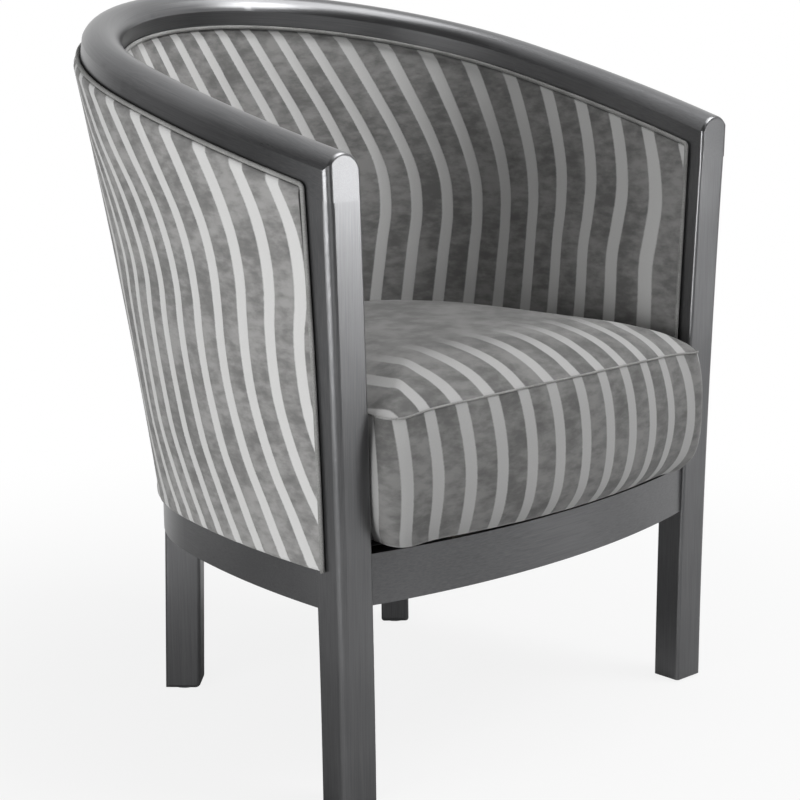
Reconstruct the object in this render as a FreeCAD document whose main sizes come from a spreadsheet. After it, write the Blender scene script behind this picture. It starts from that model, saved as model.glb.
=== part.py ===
"""Barrel chair: a show-wood armchair with a wrap-round upholstered back and a loose seat cushion.

The frame is +Z up, the front faces -Y, and the origin is on the floor under the middle of the chair.
Left and right are as seen from the front. Millimetres and degrees throughout.
"""
import FreeCAD
import Part
import Sketcher

import math
import os

from FreeCAD import Placement, Rotation, Vector

doc = FreeCAD.newDocument("barrel_chair")

# Driving dimensions

SIZES = [
    ("post_y", -254.36, "front posts' axis"),
    ("post_inset", 23, "front posts' axis at the foot, inside the seat frame's outline"),
    ("post_width", 45, "front post, across"),
    ("post_depth", 36.5, "front post, front to back"),
    ("post_turn", 1.5, "front posts' toe-in"),
    ("post_lean", 6, "front posts' faces, brought forward at the arm"),
    ("front_round", 8, "rounding of the posts' outer front edges"),
    ("inner_round", 3.5, "rounding of the posts' inner front edges and of the arms' ends"),
    ("back_round", 1.5, "rounding of the posts' back edges"),
    ("edge_round", 4, "rounding of the rear legs' long edges"),
    ("seat_rail_top", 270, "top of the seat rails"),
    ("seat_rail_height", 55, "seat rails"),
    ("seat_rail_thick", 26, "seat rails"),
    ("seat_centre_run", 214.7, "centre of the seat frame's back curve, behind the posts"),
    ("seat_back_radius", 273.3, "outside of the seat frame's back curve"),
    ("seat_arm_radius", 1059, "outside of the seat frame's side curves"),
    ("seat_joint_angle", 13.9, "where side curve meets back curve"),
    ("front_reach", 48.5, "middle of the front rail, ahead of the posts' axis"),
    ("front_end_reach", 15, "ends of the front rail, ahead of the posts' axis"),
    ("leg_angle", 46.8, "rear legs' bearing round the back curve"),
    ("leg_width", 36, "rear leg, along the curve"),
    ("leg_depth", 42.5, "rear leg, across the curve"),
    ("leg_proud", 0.5, "rear leg, proud of the seat rails"),
    ("leg_rake", 6, "rear leg's foot, kicked out"),
    ("foot_round", 7, "rounding of the rear legs' inner foot edge"),
    ("rail_centre_run", 249, "centre of the top rail's back curve, behind the posts"),
    ("rail_centre_height", 749.8, "crest of the top rail at that centre"),
    ("rail_tilt", 13.96, "slope of the top rail up to the back"),
    ("rail_back_radius", 303.5, "middle line of the top rail's back curve"),
    ("rail_arm_radius", 1180, "middle line of the top rail's arm curves"),
    ("rail_joint_angle", 5.45, "where the arms are spliced to the back"),
    ("rail_width", 45, "top rail"),
    ("rail_height", 46, "top rail, crest to underside"),
    ("rail_arch_rise", 16.5, "top rail's arched top"),
    ("rail_cover_lap", 7, "covers lap up the sides of the top rail"),
    ("hem_lap", 13, "outside cover laps down the seat rails"),
    ("wall_waist", 4.5, "how far the barrel draws in between the rails"),
    ("outside_board_thick", 3, "board behind the outside cover"),
    ("upright_thick", 24, "uprights in the barrel wall"),
    ("upright_width", 38, "uprights in the barrel wall"),
    ("inside_board_thick", 3, "board behind the inside padding"),
    ("wadding_thick", 3.6, "wadding under the outside cover"),
    ("cover_thick", 1.6, "covers with their backing"),
    ("back_pad", 30, "extra padding at the middle of the back"),
    ("welt_radius", 2.4, "piping cord"),
    ("soft_gap", 0.3, "clearance between soft layers"),
    ("strap_width", 45, "webbing"),
    ("strap_thick", 1.5, "webbing"),
    ("strap_gap", 0.2, "between layers of webbing and deck"),
    ("strap_pitch", 86, "webbing"),
    ("strap_bearing", 16, "webbing's hold on the rails"),
    ("deck_thick", 1.2, "deck cloth and dust cloth"),
    ("cushion_side_gap", 1.8, "cushion to the arms' covers"),
    ("cushion_front_reach", 72, "front of the cushion ahead of the posts' axis"),
    ("cushion_corner_radius", 32, "front corners of the cushion"),
    ("cushion_corner_reach", 12, "centres of those corners, ahead of the posts' axis"),
    ("cushion_back_gap", 4, "cushion to the inside back"),
    ("cushion_border", 149, "height of the cushion's border, up to its seam"),
    ("cushion_crown", 27, "rise of the cushion's top above the seam"),
    ("cushion_cover_thick", 2, "cushion cover with its lining"),
    ("dowel_radius", 4, "frame dowels"),
    ("dowel_length", 40, "frame dowels"),
    ("dowel_gap", 0.1, "dowel holes"),
    ("dowel_spread", 23, "between the dowels of one joint"),
    ("block_height", 35, "corner blocks"),
    ("block_reach", 100, "front corner blocks along the rails"),
    ("rear_block_depth", 24, "rear corner blocks, inside the rails"),
    ("screw_radius", 2.25, "corner block screws"),
    ("screw_length", 42, "corner block screws"),
    ("screw_head_radius", 4.5, "corner block screws"),
    ("screw_head_height", 3, "corner block screws"),
    ("glide_radius", 12, "nail-in glides under the feet"),
    ("glide_height", 2, "nail-in glides"),
    ("glide_nail_radius", 2, "nail-in glides"),
    ("glide_nail_length", 14, "nail-in glides"),
]

sheet = doc.addObject("Spreadsheet::Sheet", "dims")
for row, (alias, value, note) in enumerate(SIZES, start=1):
    sheet.set(f"A{row}", alias)
    sheet.set(f"B{row}", str(value))
    sheet.setAlias(f"B{row}", alias)
    sheet.set(f"C{row}", note)
doc.recompute()


class Size:
    """A number from the sheet, with the expression that binds a feature to it."""

    def __init__(self, number, text):
        self.number = number
        self.text = text

    def __add__(self, other):
        other = as_size(other)
        return Size(self.number + other.number, f"({self.text} + {other.text})")

    def __sub__(self, other):
        other = as_size(other)
        return Size(self.number - other.number, f"({self.text} - {other.text})")

    def __rsub__(self, other):
        return as_size(other) - self

    def __mul__(self, other):
        other = as_size(other)
        return Size(self.number * other.number, f"({self.text} * {other.text})")

    def __truediv__(self, other):
        other = as_size(other)
        return Size(self.number / other.number, f"({self.text} / {other.text})")

    def __rtruediv__(self, other):
        return as_size(other) / self

    __radd__ = __add__
    __rmul__ = __mul__


def as_size(value):
    if isinstance(value, Size):
        return value
    return Size(float(value), repr(float(value)))


class Sheet:
    """Every driving dimension by name."""

    def __getattr__(self, alias):
        return Size(float(sheet.get(alias)), f"dims.{alias}")


dim = Sheet()


def plain(alias):
    return float(sheet.get(alias))


def sine(degrees):
    return math.sin(math.radians(degrees))


def cosine(degrees):
    return math.cos(math.radians(degrees))


DEGREES_PER_RADIAN = 180 / math.pi
SIDES = {"left": -1, "right": 1}
UP = Vector(0, 0, 1)
ACROSS = Vector(1, 0, 0)
BACKWARD = Vector(0, 1, 0)

finished = []


def piece(feature, label):
    """Names a sub-part: its label is its file's name."""
    feature.Label = label
    finished.append(feature)
    return feature


def bind(feature, sizes):
    for path, size in sizes.items():
        feature.setExpression(path, as_size(size).text)


# Helpers for bars that are a section swept round an axis


def bar_section(body, near, wide, tall, rise=None):
    """A section on the body's XZ plane, standing on its X axis; with a rise, its top is an arch."""
    planes = {feature.Role: feature for feature in body.Origin.OriginFeatures}
    sketch = body.newObject("Sketcher::SketchObject", "section")
    sketch.AttachmentSupport = [(planes["XZ_Plane"], "")]
    sketch.MapMode = "FlatFace"
    left = near.number
    right = left + wide.number
    side = tall - (rise if rise else 0)
    corners = [(left, 0), (right, 0), (right, side.number), (left, side.number)]
    points = [Vector(x, y, 0) for x, y in corners]
    sketch.addGeometry(Part.LineSegment(points[0], points[1]))
    sketch.addGeometry(Part.LineSegment(points[1], points[2]))
    if rise:
        arch_radius = (wide * wide / 4 + rise * rise) / (2 * rise)
        middle = Vector((left + right) / 2, side.number + rise.number - arch_radius.number, 0)
        start = math.atan2(side.number - middle.y, wide.number / 2)
        circle = Part.Circle(middle, UP, arch_radius.number)
        sketch.addGeometry(Part.ArcOfCircle(circle, start, math.pi - start))
    else:
        sketch.addGeometry(Part.LineSegment(points[2], points[3]))
    sketch.addGeometry(Part.LineSegment(points[3], points[0]))
    for edge in range(4):
        sketch.addConstraint(Sketcher.Constraint("Coincident", edge, 2, (edge + 1) % 4, 1))
    sketch.addConstraint(Sketcher.Constraint("Horizontal", 0))
    sketch.addConstraint(Sketcher.Constraint("Vertical", 1))
    sketch.addConstraint(Sketcher.Constraint("Vertical", 3))
    sketch.addConstraint(Sketcher.Constraint("PointOnObject", 0, 1, -1))
    named = [
        ("near", Sketcher.Constraint("DistanceX", -1, 1, 0, 1, left), near),
        ("wide", Sketcher.Constraint("DistanceX", 0, 1, 0, 2, wide.number), wide),
        ("side", Sketcher.Constraint("DistanceY", 1, 1, 1, 2, side.number), side),
    ]
    if rise:
        sketch.addConstraint(Sketcher.Constraint("Horizontal", 2, 1, 2, 2))
        named.append(("arch", Sketcher.Constraint("Radius", 2, arch_radius.number), arch_radius))
    else:
        sketch.addConstraint(Sketcher.Constraint("Horizontal", 2))
    for name, constraint, size in named:
        sketch.renameConstraint(sketch.addConstraint(constraint), name)
        sketch.setExpression(f"Constraints.{name}", size.text)
    return sketch


def swept_bar(name, near, wide, tall, sweep, placement, rise=None):
    """A body whose section is turned about the body's Z axis, evenly to both sides of its XZ plane."""
    body = doc.addObject("PartDesign::Body", name)
    sketch = bar_section(body, near, wide, tall, rise)
    axes = {feature.Role: feature for feature in body.Origin.OriginFeatures}
    turn = body.newObject("PartDesign::Revolution", "sweep")
    turn.Profile = sketch
    turn.ReferenceAxis = (axes["Z_Axis"], [""])
    turn.Midplane = True
    bind(turn, {"Angle": sweep})
    body.Placement = placement
    doc.recompute()
    return body


def round_edges(body, wanted, radius):
    """Fillets the edges of the body's last feature that wanted picks."""
    edges = [
        f"Edge{number}"
        for number, edge in enumerate(body.Tip.Shape.Edges, start=1)
        if wanted(edge)
    ]
    base = body.Tip
    fillet = body.newObject("PartDesign::Fillet", "rounding")
    fillet.Base = (base, edges)
    bind(fillet, {"Radius": radius})
    doc.recompute()
    return fillet


def cut(base, *tools):
    """base less each tool, as a chain of cuts."""
    for tool in tools:
        result = doc.addObject("Part::Cut", f"{base.Name}_cut")
        result.Base = base
        result.Tool = tool
        base = result
    doc.recompute()
    return base


def group(name, members):
    result = doc.addObject("Part::Compound", name)
    result.Links = members
    doc.recompute()
    return result


def block(name, length, width, height, placement):
    box = doc.addObject("Part::Box", name)
    bind(box, {"Length": length, "Width": width, "Height": height})
    box.Placement = placement
    return box


def rod(name, radius, length, start, direction):
    cylinder = doc.addObject("Part::Cylinder", name)
    bind(cylinder, {"Radius": radius, "Height": length})
    cylinder.Placement = Placement(start, Rotation(UP, direction))
    return cylinder


def made(name, shape):
    feature = doc.addObject("Part::Feature", name)
    feature.Shape = shape
    return feature


# The barrel: one outline of a back curve and two side curves, from the seat rails up to the top rail


def post_foot_x():
    """The front posts' axis at the foot: post_inset inside the seat frame's outline."""
    arm_radius = plain("seat_arm_radius")
    joint = plain("seat_joint_angle")
    shift = arm_radius - plain("seat_back_radius")
    rise = shift * sine(joint) - plain("seat_centre_run")
    return math.sqrt(arm_radius ** 2 - rise ** 2) - shift * cosine(joint) - plain("post_inset")


class Level:
    """The barrel's outline at a share of the way up from the seat rails to the top rail's underside.

    The outline is the frame's outer face. lift moves its plane along the plane's normal, and forward
    moves its curves towards the front.
    """

    def __init__(self, share, lift=0.0, forward=0.0):
        def between(low, high):
            return low + (high - low) * share

        tilt = plain("rail_tilt")
        post_y = plain("post_y")
        half_rail = plain("rail_width") / 2
        rail_height = plain("rail_height")
        low = Vector(0, post_y + plain("seat_centre_run"), plain("seat_rail_top"))
        high = Vector(
            0,
            post_y + plain("rail_centre_run") + rail_height * sine(tilt),
            plain("rail_centre_height") - rail_height * cosine(tilt),
        )
        draw_in = plain("wall_waist") * 4 * share * (1 - share)
        self.tilt = tilt * share
        self.along = Vector(0, cosine(self.tilt), sine(self.tilt))
        self.normal = Vector(0, -sine(self.tilt), cosine(self.tilt))
        self.centre = low + (high - low) * share + self.normal * lift - self.along * forward
        self.radius = between(plain("seat_back_radius"), plain("rail_back_radius") + half_rail) - draw_in
        self.arm_radius = between(plain("seat_arm_radius"), plain("rail_arm_radius") + half_rail) - draw_in
        self.joint = between(plain("seat_joint_angle"), plain("rail_joint_angle"))

    def spot(self, x, y):
        return self.centre + ACROSS * x + self.along * y

    def on_back(self, angle, offset):
        reach = self.radius + offset
        return self.spot(reach * cosine(angle), reach * sine(angle))

    def on_arm(self, angle, offset):
        shift = self.arm_radius - self.radius
        reach = self.arm_radius + offset
        x = reach * cosine(angle) - shift * cosine(self.joint)
        y = reach * sine(angle) - shift * sine(self.joint)
        return self.spot(x, y)

    def arm_end(self, offset, gap):
        """Where the right arm's curve meets the plane that lies gap behind the right post."""
        turn = plain("post_turn")
        shift = self.arm_radius - self.radius
        reach = self.arm_radius + offset
        x_part = reach * sine(turn)
        y_part = reach * cosine(turn) * cosine(self.tilt)
        from_post_x = -shift * cosine(self.joint) - post_foot_x()
        from_post_y = self.centre.y - shift * sine(self.joint) * cosine(self.tilt) - plain("post_y")
        rest = plain("post_depth") / 2 + gap - sine(turn) * from_post_x - cosine(turn) * from_post_y
        lead = math.atan2(y_part, x_part)
        return (lead - math.acos(rest / math.hypot(x_part, y_part))) * DEGREES_PER_RADIAN

    def run(self, offset, gap):
        """The three curves from the right post round the back to the left post, each as three points."""
        end = self.arm_end(offset, gap)
        right = [self.on_arm(angle, offset) for angle in (end, (end + self.joint) / 2, self.joint)]
        back = [self.on_back(angle, offset) for angle in (self.joint, 90, 180 - self.joint)]
        left = [Vector(-point.x, point.y, point.z) for point in reversed(right)]
        return [right, back, left]


def arcs(run):
    return [Part.Arc(*points).toShape() for points in run]


def backwards(run):
    return [points[::-1] for points in reversed(run)]


def line(start, end):
    return Part.LineSegment(start, end).toShape()


def band(level, outer, inner, gap, inner_level=None):
    """A closed outline: along the outer offset to the left post, and back along the inner one."""
    out = level.run(outer, gap)
    home = backwards((inner_level or level).run(inner, gap))
    edges = arcs(out) + [line(out[-1][-1], home[0][0])] + arcs(home) + [line(home[-1][-1], out[0][0])]
    return Part.Wire(edges)


def wall_layer(levels, outer, inner, gap, inner_levels=None):
    """One layer of the barrel wall, lofted up through levels."""
    inner_levels = inner_levels or levels
    wires = [
        band(level, outer, inner, gap, inner_level)
        for level, inner_level in zip(levels, inner_levels)
    ]
    return Part.makeLoft(wires, True, True)


post_y = plain("post_y")
post_x = post_foot_x()
seat_top = plain("seat_rail_top")
seat_bottom = seat_top - plain("seat_rail_height")
seat_centre = Vector(0, post_y + plain("seat_centre_run"), 0)
seat_level = Level(0)
rail_level = Level(1)
tilt_turn = Rotation(ACROSS, plain("rail_tilt"))


# Front posts: upright at the foot, curving out to the arms, cut off under the top rail

POST_SECTIONS = 6


def post_frame(side):
    """The post's own frame: its axis at the foot, turned to its toe-in."""
    foot = Vector(side * post_x, post_y, 0)
    return Placement(foot, Rotation(UP, -side * plain("post_turn")))


def arm_over_post():
    """The arm's middle line above the right post's axis, on the underside of the top rail."""
    middle = -plain("rail_width") / 2
    return rail_level.on_arm(rail_level.arm_end(middle, -plain("post_depth") / 2), middle)


arm_seat = arm_over_post()
post_splay = post_frame(1).inverse().multVec(arm_seat).x


def post_axis(height):
    """How far the post has curved out at a height."""
    return post_splay * (height / arm_seat.z) ** 2


def post_lean(height):
    """How far the post's front face has come forward at a height."""
    return plain("post_lean") * (height / arm_seat.z) ** 2


def arm_slant():
    """How far the arm's side runs outward over the right post, for each millimetre back."""
    to_post = post_frame(1).inverse()
    ends = [rail_level.on_arm(rail_level.arm_end(0, gap), 0) for gap in (0, -plain("post_depth"))]
    back, front = [to_post.multVec(end) for end in ends]
    return (back.x - front.x) / (back.y - front.y)


post_slant = arm_slant()


def rounded_rectangle(middle, width, depth, radii, slant):
    """A level outline with rounded corners and slanted sides, counter-clockwise from the back right."""
    edges = []
    spots = []
    for corner, radius in enumerate(radii):
        turn = 90 * corner
        x = (width / 2 - radius) * (1 if corner in (0, 3) else -1)
        y = (depth / 2 - radius) * (1 if corner in (0, 1) else -1)
        centre = middle + Vector(x, y, 0)
        arc = [centre + Vector(cosine(turn + step), sine(turn + step), 0) * radius for step in (0, 45, 90)]
        spots.append([spot + Vector(slant * spot.y, 0, 0) for spot in arc])
    for corner, arc in enumerate(spots):
        edges.append(Part.Arc(*arc).toShape())
        edges.append(line(arc[-1], spots[(corner + 1) % 4][0]))
    return Part.Wire(edges)


def post_shape(side):
    """The whole post, run on past the top rail's underside."""
    low = plain("glide_height")
    high = arm_seat.z + plain("rail_height")
    front = [plain("inner_round"), plain("front_round")]
    radii = [plain("back_round"), plain("back_round"), *front[::side]]
    sections = []
    for step in range(POST_SECTIONS):
        height = low + (high - low) * step / (POST_SECTIONS - 1)
        lean = post_lean(height)
        middle = Vector(side * post_axis(height), -lean / 2, height)
        depth = plain("post_depth") + lean
        slant = side * post_slant * (height / arm_seat.z) ** 3
        sections.append(rounded_rectangle(middle, plain("post_width"), depth, radii, slant))
    return Part.makeLoft(sections, True, False)


above_posts = block(
    "above_posts", 2 * dim.rail_arm_radius, 2 * dim.rail_arm_radius, dim.rail_height * 8,
    Placement(rail_level.spot(-plain("rail_arm_radius"), -plain("rail_arm_radius")), tilt_turn),
)
posts = {}
for name, side in SIDES.items():
    bar = made(f"post_bar_{name}", post_shape(side))
    bar.Placement = post_frame(side)
    posts[name] = cut(bar, above_posts)
post_edge = post_x + post_axis(seat_bottom) - plain("post_width") / 2

# Rear legs: sawn to a side profile, with a shoulder under the outside cover


def leg_frame(side, radius, height):
    """A frame at the rear leg's bearing: X outward across the curve, Z up."""
    angle = plain("leg_angle") if side > 0 else 180 - plain("leg_angle")
    outward = Vector(cosine(angle), sine(angle), 0)
    return Placement(seat_centre + outward * radius + UP * height, Rotation(UP, angle))


leg_inner = plain("seat_back_radius") + plain("leg_proud") - plain("leg_depth")


def leg_body(side, name):
    body = doc.addObject("PartDesign::Body", name)
    planes = {feature.Role: feature for feature in body.Origin.OriginFeatures}
    sketch = body.newObject("Sketcher::SketchObject", "side_profile")
    sketch.AttachmentSupport = [(planes["XZ_Plane"], "")]
    sketch.MapMode = "FlatFace"
    foot = dim.glide_height
    knee = dim.seat_rail_top - dim.seat_rail_height
    shoulder = dim.seat_rail_top - dim.hem_lap - dim.soft_gap
    curve_drop = dim.leg_width * dim.leg_width / (8 * dim.seat_back_radius)
    recess = dim.leg_depth - dim.leg_proud - curve_drop
    corners = [
        (dim.leg_rake, foot),
        (dim.leg_rake + dim.leg_depth, foot),
        (dim.leg_depth, knee),
        (dim.leg_depth, shoulder),
        (recess, shoulder),
        (recess, dim.seat_rail_top),
        (None, dim.seat_rail_top),
        (None, knee),
    ]
    points = [Vector(x.number if x else 0, z.number, 0) for x, z in corners]
    count = len(points)
    for index in range(count):
        sketch.addGeometry(Part.LineSegment(points[index], points[(index + 1) % count]))
    for index, (x, z) in enumerate(corners):
        sketch.addConstraint(Sketcher.Constraint("Coincident", index, 2, (index + 1) % count, 1))
        if x is None:
            sketch.addConstraint(Sketcher.Constraint("PointOnObject", index, 1, -2))
        else:
            rule = sketch.addConstraint(Sketcher.Constraint("DistanceX", -1, 1, index, 1, x.number))
            sketch.setExpression(f"Constraints[{rule}]", x.text)
        rule = sketch.addConstraint(Sketcher.Constraint("DistanceY", -1, 1, index, 1, z.number))
        sketch.setExpression(f"Constraints[{rule}]", z.text)
    pad = body.newObject("PartDesign::Pad", "leg")
    pad.Profile = sketch
    pad.SideType = "Symmetric"
    bind(pad, {"Length": dim.leg_width})
    body.Placement = leg_frame(side, leg_inner, 0)
    doc.recompute()
    inner_foot = Vector(plain("leg_rake"), 0, plain("glide_height"))
    round_edges(body, lambda edge: edge.CenterOfMass.isEqual(inner_foot, 0.01), dim.foot_round)
    tall = seat_bottom / 2
    round_edges(body, lambda edge: edge.Length > tall, dim.edge_round)
    return body


legs = {name: leg_body(side, f"leg_bar_{name}") for name, side in SIDES.items()}

# Seat rails: a bowed front rail, two side rails and a back rail

rail_stand = Vector(0, 0, seat_bottom)
front_sag = dim.front_reach - dim.front_end_reach
bow_radius = (post_edge ** 2 + front_sag * front_sag) / (2 * front_sag)
bow_centre = Vector(0, post_y - plain("front_reach") + bow_radius.number, 0)
front_sweep = 2 * (post_edge + dim.post_width / 2) / bow_radius * DEGREES_PER_RADIAN
front_bar = swept_bar(
    "front_rail_bar", bow_radius - dim.seat_rail_thick, dim.seat_rail_thick, dim.seat_rail_height,
    front_sweep, Placement(bow_centre + rail_stand, Rotation(UP, -90)),
)
back_bar = swept_bar(
    "back_rail_bar", dim.seat_back_radius - dim.seat_rail_thick, dim.seat_rail_thick, dim.seat_rail_height,
    180 - 2 * dim.leg_angle, Placement(seat_centre + rail_stand, Rotation(UP, 90)),
)


def side_rail_shape(side):
    """The side curve and the start of the back curve, as far as the rear leg."""
    level = Level(0, -plain("seat_rail_height"))
    leg_angle = plain("leg_angle")

    def face_run(offset):
        end = level.arm_end(offset, 0)
        arm = [level.on_arm(angle, offset) for angle in (end, (end + level.joint) / 2, level.joint)]
        middle = (level.joint + leg_angle) / 2
        back = [level.on_back(angle, offset) for angle in (level.joint, middle, leg_angle)]
        return [[Vector(side * point.x, point.y, point.z) for point in points] for points in (arm, back)]

    out = face_run(0)
    home = backwards(face_run(-plain("seat_rail_thick")))
    edges = arcs(out) + [line(out[-1][-1], home[0][0])] + arcs(home) + [line(home[-1][-1], out[0][0])]
    return Part.Face(Part.Wire(edges)).extrude(UP * plain("seat_rail_height"))


side_bars = {name: made(f"side_rail_bar_{name}", side_rail_shape(side)) for name, side in SIDES.items()}

# Top rail: a bent back and two arms in one sloping plane, spliced end to end

rail_near = dim.rail_back_radius - dim.rail_width / 2
back_top_bar = swept_bar(
    "back_top_bar", rail_near, dim.rail_width, dim.rail_height, 180 - 2 * dim.rail_joint_angle,
    Placement(rail_level.centre, tilt_turn * Rotation(UP, 90)), dim.rail_arch_rise,
)
arm_overrun = (dim.rail_centre_run + 2 * dim.post_depth) / dim.rail_arm_radius * DEGREES_PER_RADIAN
arm_sweep = arm_overrun + dim.rail_joint_angle
arm_centre_shift = plain("rail_arm_radius") - plain("rail_back_radius")


def arm_bar(side, name):
    joint = plain("rail_joint_angle")
    x = -side * arm_centre_shift * cosine(joint)
    centre = rail_level.spot(x, -arm_centre_shift * sine(joint))
    middle = joint - arm_sweep.number / 2
    angle = middle if side > 0 else 180 - middle
    return swept_bar(
        name, dim.rail_arm_radius - dim.rail_width / 2, dim.rail_width, dim.rail_height, arm_sweep,
        Placement(centre, tilt_turn * Rotation(UP, angle)), dim.rail_arch_rise,
    )


arm_front = plain("post_depth") / 2 + plain("post_lean")


def ahead_of_post(side):
    """A block that takes the arm off flush with the post's front face."""
    size = 8 * dim.post_width
    corner = Vector(-size.number / 2, -size.number - arm_front, arm_seat.z - size.number / 2)
    return block(f"ahead_{side}", size, size, size, post_frame(side) * Placement(corner, Rotation()))


def rounded_end(bar, side, name):
    """The arm with its front end rounded over to match the post that carries it."""
    to_post = post_frame(side).inverse()
    chosen = []
    for number, edge in enumerate(bar.Shape.Edges, start=1):
        ends = [vertex.Point for vertex in edge.Vertexes]
        on_front = all(abs(to_post.multVec(end).y + arm_front) < 0.01 for end in ends)
        on_post = [abs((end - rail_level.centre).dot(rail_level.normal)) < 0.01 for end in ends]
        outer = any(on_post) and side * edge.CenterOfMass.x > arm_seat.x
        radius = plain("front_round") if outer else plain("inner_round")
        if on_front and not all(on_post):
            chosen.append((number, radius, radius))
    fillet = doc.addObject("Part::Fillet", name)
    fillet.Base = bar
    fillet.Edges = chosen
    doc.recompute()
    return fillet


arm_bars = {}
for name, side in SIDES.items():
    flush_arm = cut(arm_bar(side, f"arm_bar_{name}"), ahead_of_post(side))
    arm_bars[name] = rounded_end(flush_arm, side, f"rounded_arm_{name}")

# Dowels: each is a start point, half of its length inside either piece

dowels = []
dowel_holes = []


def dowel(middle, direction):
    number = len(dowels)
    along = Vector(direction).normalize()
    half = plain("dowel_length") / 2
    gap = plain("dowel_gap")
    dowels.append(rod(f"dowel_{number}", dim.dowel_radius, dim.dowel_length, middle - along * half, along))
    hole_start = middle - along * (half + gap)
    hole_length = dim.dowel_length + 2 * dim.dowel_gap
    dowel_holes.append(
        rod(f"dowel_hole_{number}", dim.dowel_radius + dim.dowel_gap, hole_length, hole_start, along)
    )


dowel_low = seat_bottom + (plain("seat_rail_height") - plain("dowel_spread")) / 2
half_thick = plain("seat_rail_thick") / 2
quarter_spread = plain("dowel_spread") / 4
for name, side in SIDES.items():
    front_middle = Vector(side * post_edge, post_y - plain("front_end_reach") + half_thick, 0)
    side_end = seat_level.on_arm(seat_level.arm_end(-half_thick, 0), -half_thick)
    side_middle = Vector(side * side_end.x, side_end.y, 0)
    leg_place = leg_frame(side, plain("seat_back_radius") - half_thick, 0)
    forward_face = leg_place.multVec(BACKWARD * (-side * plain("leg_width") / 2))
    rear_face = leg_place.multVec(BACKWARD * (side * plain("leg_width") / 2))
    tangent = leg_place.Rotation.multVec(BACKWARD)
    post_back = post_frame(side).Rotation.multVec(BACKWARD)
    for step in (0, 1):
        height = UP * (dowel_low + step * plain("dowel_spread"))
        dowel(front_middle + height - UP * quarter_spread, ACROSS)
        dowel(side_middle + height + UP * quarter_spread, post_back)
        dowel(forward_face + height - UP * quarter_spread, tangent)
        dowel(rear_face + height + UP * quarter_spread, tangent)
        head = Vector(side * arm_seat.x, arm_seat.y, arm_seat.z)
        dowel(head + rail_level.along * ((step - 0.5) * plain("post_depth") / 2), rail_level.normal)
        splice = rail_level.on_back(rail_level.joint, -plain("rail_width") / 2)
        splice_turn = rail_level.joint + 90
        splice_way = ACROSS * (side * cosine(splice_turn)) + rail_level.along * sine(splice_turn)
        splice_lift = (1 + step) * plain("rail_height") / 4
        dowel(Vector(side * splice.x, splice.y, splice.z) + rail_level.normal * splice_lift, splice_way)

# Corner blocks, screwed into the rails behind posts and legs

screws = []
screw_holes = []


def screw(head_point, direction):
    """A countersunk screw whose head lies in the block's face at head_point."""
    number = len(screws)
    along = Vector(direction).normalize()
    gap = plain("dowel_gap")
    pair = []
    for kind, spare in (("screw", 0), ("screw_hole", gap)):
        shank = rod(
            f"{kind}_shank_{number}", dim.screw_radius + spare, dim.screw_length + spare, head_point, along,
        )
        head = doc.addObject("Part::Cone", f"{kind}_head_{number}")
        sizes = {
            "Radius1": dim.screw_head_radius + spare,
            "Radius2": dim.screw_radius + spare,
            "Height": dim.screw_head_height,
        }
        bind(head, sizes)
        head.Placement = Placement(head_point, Rotation(UP, along))
        whole = doc.addObject("Part::MultiFuse", f"{kind}_{number}")
        whole.Shapes = [shank, head]
        pair.append(whole)
    screws.append(pair[0])
    screw_holes.append(pair[1])


rear_screw_step = (
    dim.leg_width / 2 + dim.dowel_length / 2 + dim.dowel_gap + 2 * dim.screw_radius
)
rear_block_half = rear_screw_step + 2 * dim.screw_head_radius
block_bottom = seat_bottom + (plain("seat_rail_height") - plain("block_height")) / 2
block_middle = UP * (block_bottom + plain("block_height") / 2)
block_bars = {}
for name, side in SIDES.items():
    corner = Vector(side * (post_x + plain("post_width") / 4), post_y - plain("post_depth") / 4, block_bottom)
    body = doc.addObject("PartDesign::Body", f"front_block_{name}_bar")
    planes = {feature.Role: feature for feature in body.Origin.OriginFeatures}
    sketch = body.newObject("Sketcher::SketchObject", "triangle")
    sketch.AttachmentSupport = [(planes["XY_Plane"], "")]
    sketch.MapMode = "FlatFace"
    reach = plain("block_reach")
    points = [Vector(0, 0, 0), Vector(reach, 0, 0), Vector(0, reach, 0)]
    for index in range(3):
        sketch.addGeometry(Part.LineSegment(points[index], points[(index + 1) % 3]))
    for index in range(3):
        sketch.addConstraint(Sketcher.Constraint("Coincident", index, 2, (index + 1) % 3, 1))
    sketch.addConstraint(Sketcher.Constraint("Coincident", 0, 1, -1, 1))
    sketch.addConstraint(Sketcher.Constraint("Horizontal", 0))
    sketch.addConstraint(Sketcher.Constraint("Vertical", 2))
    for index in (0, 2):
        rule = sketch.addConstraint(Sketcher.Constraint("Distance", index, reach))
        sketch.setExpression(f"Constraints[{rule}]", dim.block_reach.text)
    pad = body.newObject("PartDesign::Pad", "block")
    pad.Profile = sketch
    bind(pad, {"Length": dim.block_height})
    body.Placement = Placement(corner, Rotation(UP, 90 if side > 0 else 0))
    block_bars[f"front_{name}"] = body
    slope_middle = Vector(corner.x - side * reach / 2, corner.y + reach / 2, 0) + block_middle
    screw(slope_middle + Vector(-side, -1, 0) * (reach / 8), Vector(0, -1, 0))
    screw(slope_middle + Vector(side, 1, 0) * (reach / 8), Vector(side, 0, 0))
    rear_inner = plain("seat_back_radius") - plain("seat_rail_thick") - plain("rear_block_depth")
    rear_frame = leg_frame(side, rear_inner, block_bottom)
    shift = Placement(Vector(0, -rear_block_half.number, 0), Rotation())
    block_bars[f"rear_{name}"] = block(
        f"rear_block_{name}_bar", dim.rear_block_depth + dim.seat_rail_thick / 2, 2 * rear_block_half,
        dim.block_height, rear_frame * shift,
    )
    for way in (-1, 1):
        step = BACKWARD * (way * rear_screw_step.number) + UP * (plain("block_height") / 2)
        screw(rear_frame.multVec(step), rear_frame.Rotation.multVec(ACROSS))
doc.recompute()

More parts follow.
